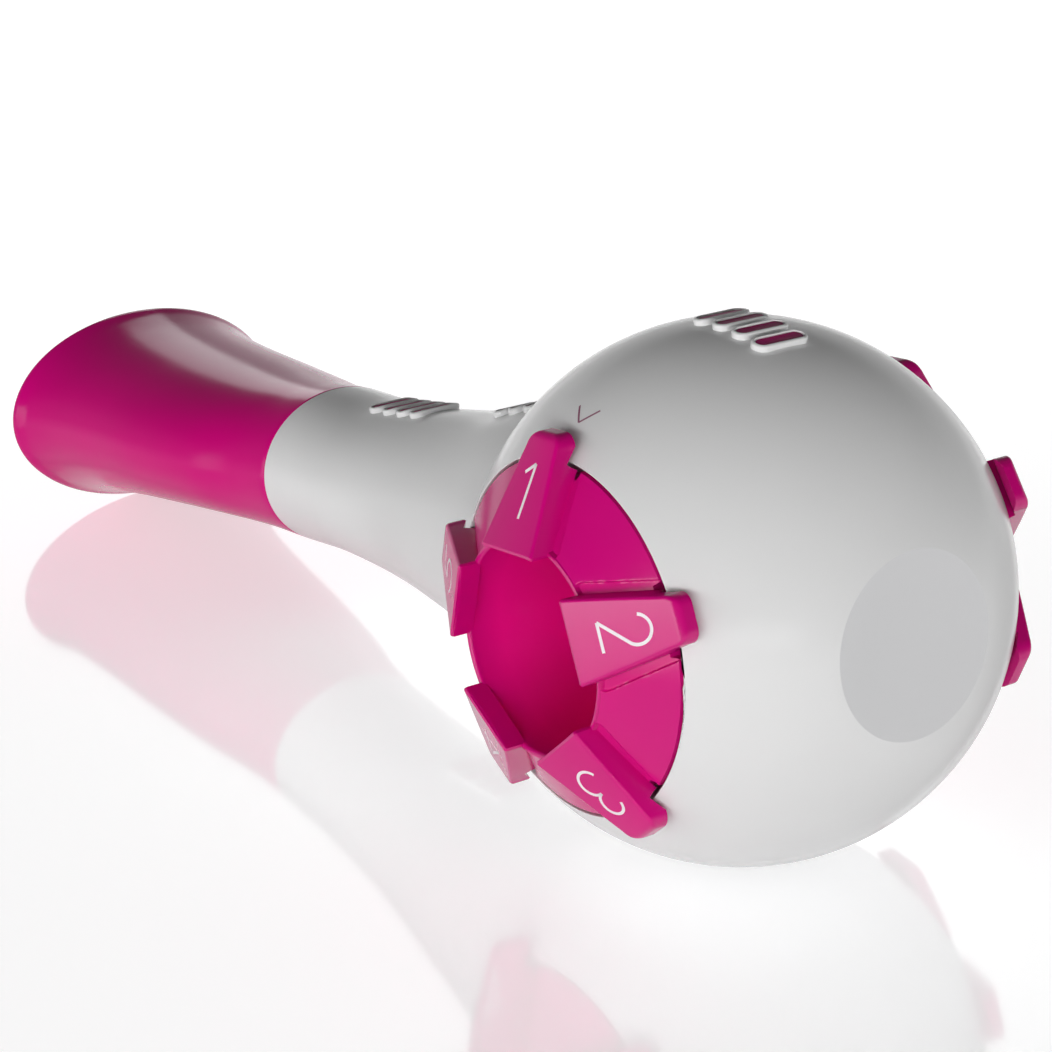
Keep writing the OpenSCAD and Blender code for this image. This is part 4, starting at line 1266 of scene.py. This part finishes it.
def floor_material():
    """Pale glossy table top. What the camera and mirrors see is lifted to white, and the
    shadow stays."""
    p = Paint("table_top")
    p.give({"Base Color": (0.86, 0.86, 0.87, 1), "IOR": 3.0,
            "Roughness": p.spread(p.noise(3.0, 2.0), 0.07, 0.10)})
    path = p.node("ShaderNodeLightPath").outputs
    mirrored = p.maths("MULTIPLY", path["Is Glossy Ray"], MIRRORED_LIFT)
    seen = p.maths("MAXIMUM", path["Is Camera Ray"], mirrored)
    seen = p.maths("MAXIMUM", seen, path["Is Transmission Ray"])
    lift = p.node("ShaderNodeEmission")
    p.feed(p.maths("MULTIPLY", seen, FLOOR_LIFT), lift.inputs["Strength"])
    both = p.node("ShaderNodeAddShader")
    p.feed(p.shader.outputs[0], both.inputs[0])
    p.feed(lift.outputs[0], both.inputs[1])
    p.feed(both.outputs[0], p.tree.nodes["Material Output"].inputs["Surface"])
    return p.material


def add_camera(z):
    """The camera that was fitted to the photo."""
    round_, high = math.radians(CAMERA_ROUND), math.radians(CAMERA_HIGH)
    to_camera = np.array([-math.cos(high) * math.cos(round_), math.cos(high) * math.sin(round_),
                          math.sin(high)])
    look = -to_camera
    right = np.cross(look, [0, 0, 1.0])
    right /= np.linalg.norm(right)
    down = np.cross(look, right)
    ball = np.array([z.centre_x, 0, z.ball_r])
    x, y, far = (v * z.ball_r for v in BALL_IN_VIEW)
    place = (ball - right * x - down * y - look * far) * MM
    data = bpy.data.cameras.new("camera")
    data.sensor_width = SENSOR
    data.sensor_fit = "HORIZONTAL"
    data.lens = FOCAL * SENSOR
    data.clip_start, data.clip_end = 0.01, 50
    camera = bpy.data.objects.new("camera", data)
    bpy.context.scene.collection.objects.link(camera)
    camera.matrix_world = Matrix((
        (right[0], -down[0], -look[0], place[0]),
        (right[1], -down[1], -look[1], place[1]),
        (right[2], -down[2], -look[2], place[2]),
        (0, 0, 0, 1)))
    bpy.context.scene.camera = camera


def add_lamp(name, place, aim, size, power, only=None):
    """A soft rectangular lamp that no camera sees, at a place, looking at a point. Lengths
    are in metres. With only, just the piece of that name mirrors it."""
    data = bpy.data.lights.new(name, "AREA")
    data.shape = "RECTANGLE"
    data.size, data.size_y = size
    data.energy = power
    lamp = bpy.data.objects.new(name, data)
    lamp.location = place
    lamp.rotation_euler = (Vector(aim) - Vector(place)).to_track_quat("-Z", "Y").to_euler()
    lamp.visible_camera = False
    bpy.context.scene.collection.objects.link(lamp)
    if only:
        receivers = bpy.data.collections.new(name + "_receivers")
        receivers.objects.link(bpy.data.objects[only])
        lamp.light_linking.receiver_collection = receivers
        lamp.visible_diffuse = False
    return lamp


class TRAINER_OT_stage(bpy.types.Operator):
    """Lay the pale table top and set the lamps, the surround and the camera"""
    bl_idname = "trainer.stage"
    bl_label = "Stage"

    def execute(self, context):
        mesh = bpy.data.meshes.new("table_top")
        corners = [(x * TABLE_REACH, y * TABLE_REACH, 0)
                   for x, y in ((-1, -1), (1, -1), (1, 1), (-1, 1))]
        mesh.from_pydata(corners, [], [(0, 1, 2, 3)])
        mesh.materials.append(floor_material())
        floor = bpy.data.objects.new("table_top", mesh)
        context.scene.collection.objects.link(floor)
        studio_world()
        for row in LAMPS:
            lamp = add_lamp(*row)
            # The low lamps light the part's underside without showing in its gloss
            lamp.visible_glossy = not lamp.name.endswith("low")
        window = add_lamp(*WINDOW, only="mouthpiece_skin")
        window.rotation_euler.rotate_axis("Z", math.radians(WINDOW_TURN))
        for k in range(4):
            turn = math.radians(90 * k - CAMERA_ROUND)
            place = (CARD_AWAY * math.cos(turn), CARD_AWAY * math.sin(turn), CARD_HIGH)
            add_lamp(f"floor_card_{k + 1}", place, (0, 0, 0), CARD_SIZE, CARD_POWER,
                     only="table_top")
        add_camera(Sizes(context.scene))
        context.scene.view_settings.view_transform = "Standard"
        # The light tree makes pieces with a lamp of their own too bright
        context.scene.cycles.use_light_tree = False
        return {"FINISHED"}


# Panel and start

OPERATORS = (TRAINER_OT_ball, TRAINER_OT_neck, TRAINER_OT_mouthpiece, TRAINER_OT_ribs,
             TRAINER_OT_dials, TRAINER_OT_marks, TRAINER_OT_inner, TRAINER_OT_stage)
GROUPS = {"trainer_body": TrainerBody, "trainer_mouthpiece": TrainerMouthpiece,
          "trainer_dials": TrainerDials, "trainer_ribs": TrainerRibs,
          "trainer_finish": TrainerFinish}


class TRAINER_PT_panel(bpy.types.Panel):
    """Lists the pieces and their sizes"""
    bl_idname = "TRAINER_PT_panel"
    bl_label = "Breathing trainer"
    bl_space_type = "VIEW_3D"
    bl_region_type = "UI"
    bl_category = "Trainer"

    def draw(self, context):
        for key, group in GROUPS.items():
            box = self.layout.box()
            owner = getattr(context.scene, key)
            for name in group.__annotations__:
                box.prop(owner, name)
        for operator in OPERATORS:
            self.layout.operator(operator.bl_idname)


def register():
    for cls in (*GROUPS.values(), *OPERATORS, TRAINER_PT_panel):
        bpy.utils.register_class(cls)
    for key, group in GROUPS.items():
        setattr(bpy.types.Scene, key, PointerProperty(type=group))


def unregister():
    for key in GROUPS:
        delattr(bpy.types.Scene, key)
    for cls in reversed((*GROUPS.values(), *OPERATORS, TRAINER_PT_panel)):
        bpy.utils.unregister_class(cls)


def main():
    register()
    for operator in OPERATORS:
        group, name = operator.bl_idname.split(".")
        getattr(getattr(bpy.ops, group), name)()


if __name__ == "__main__":
    main()
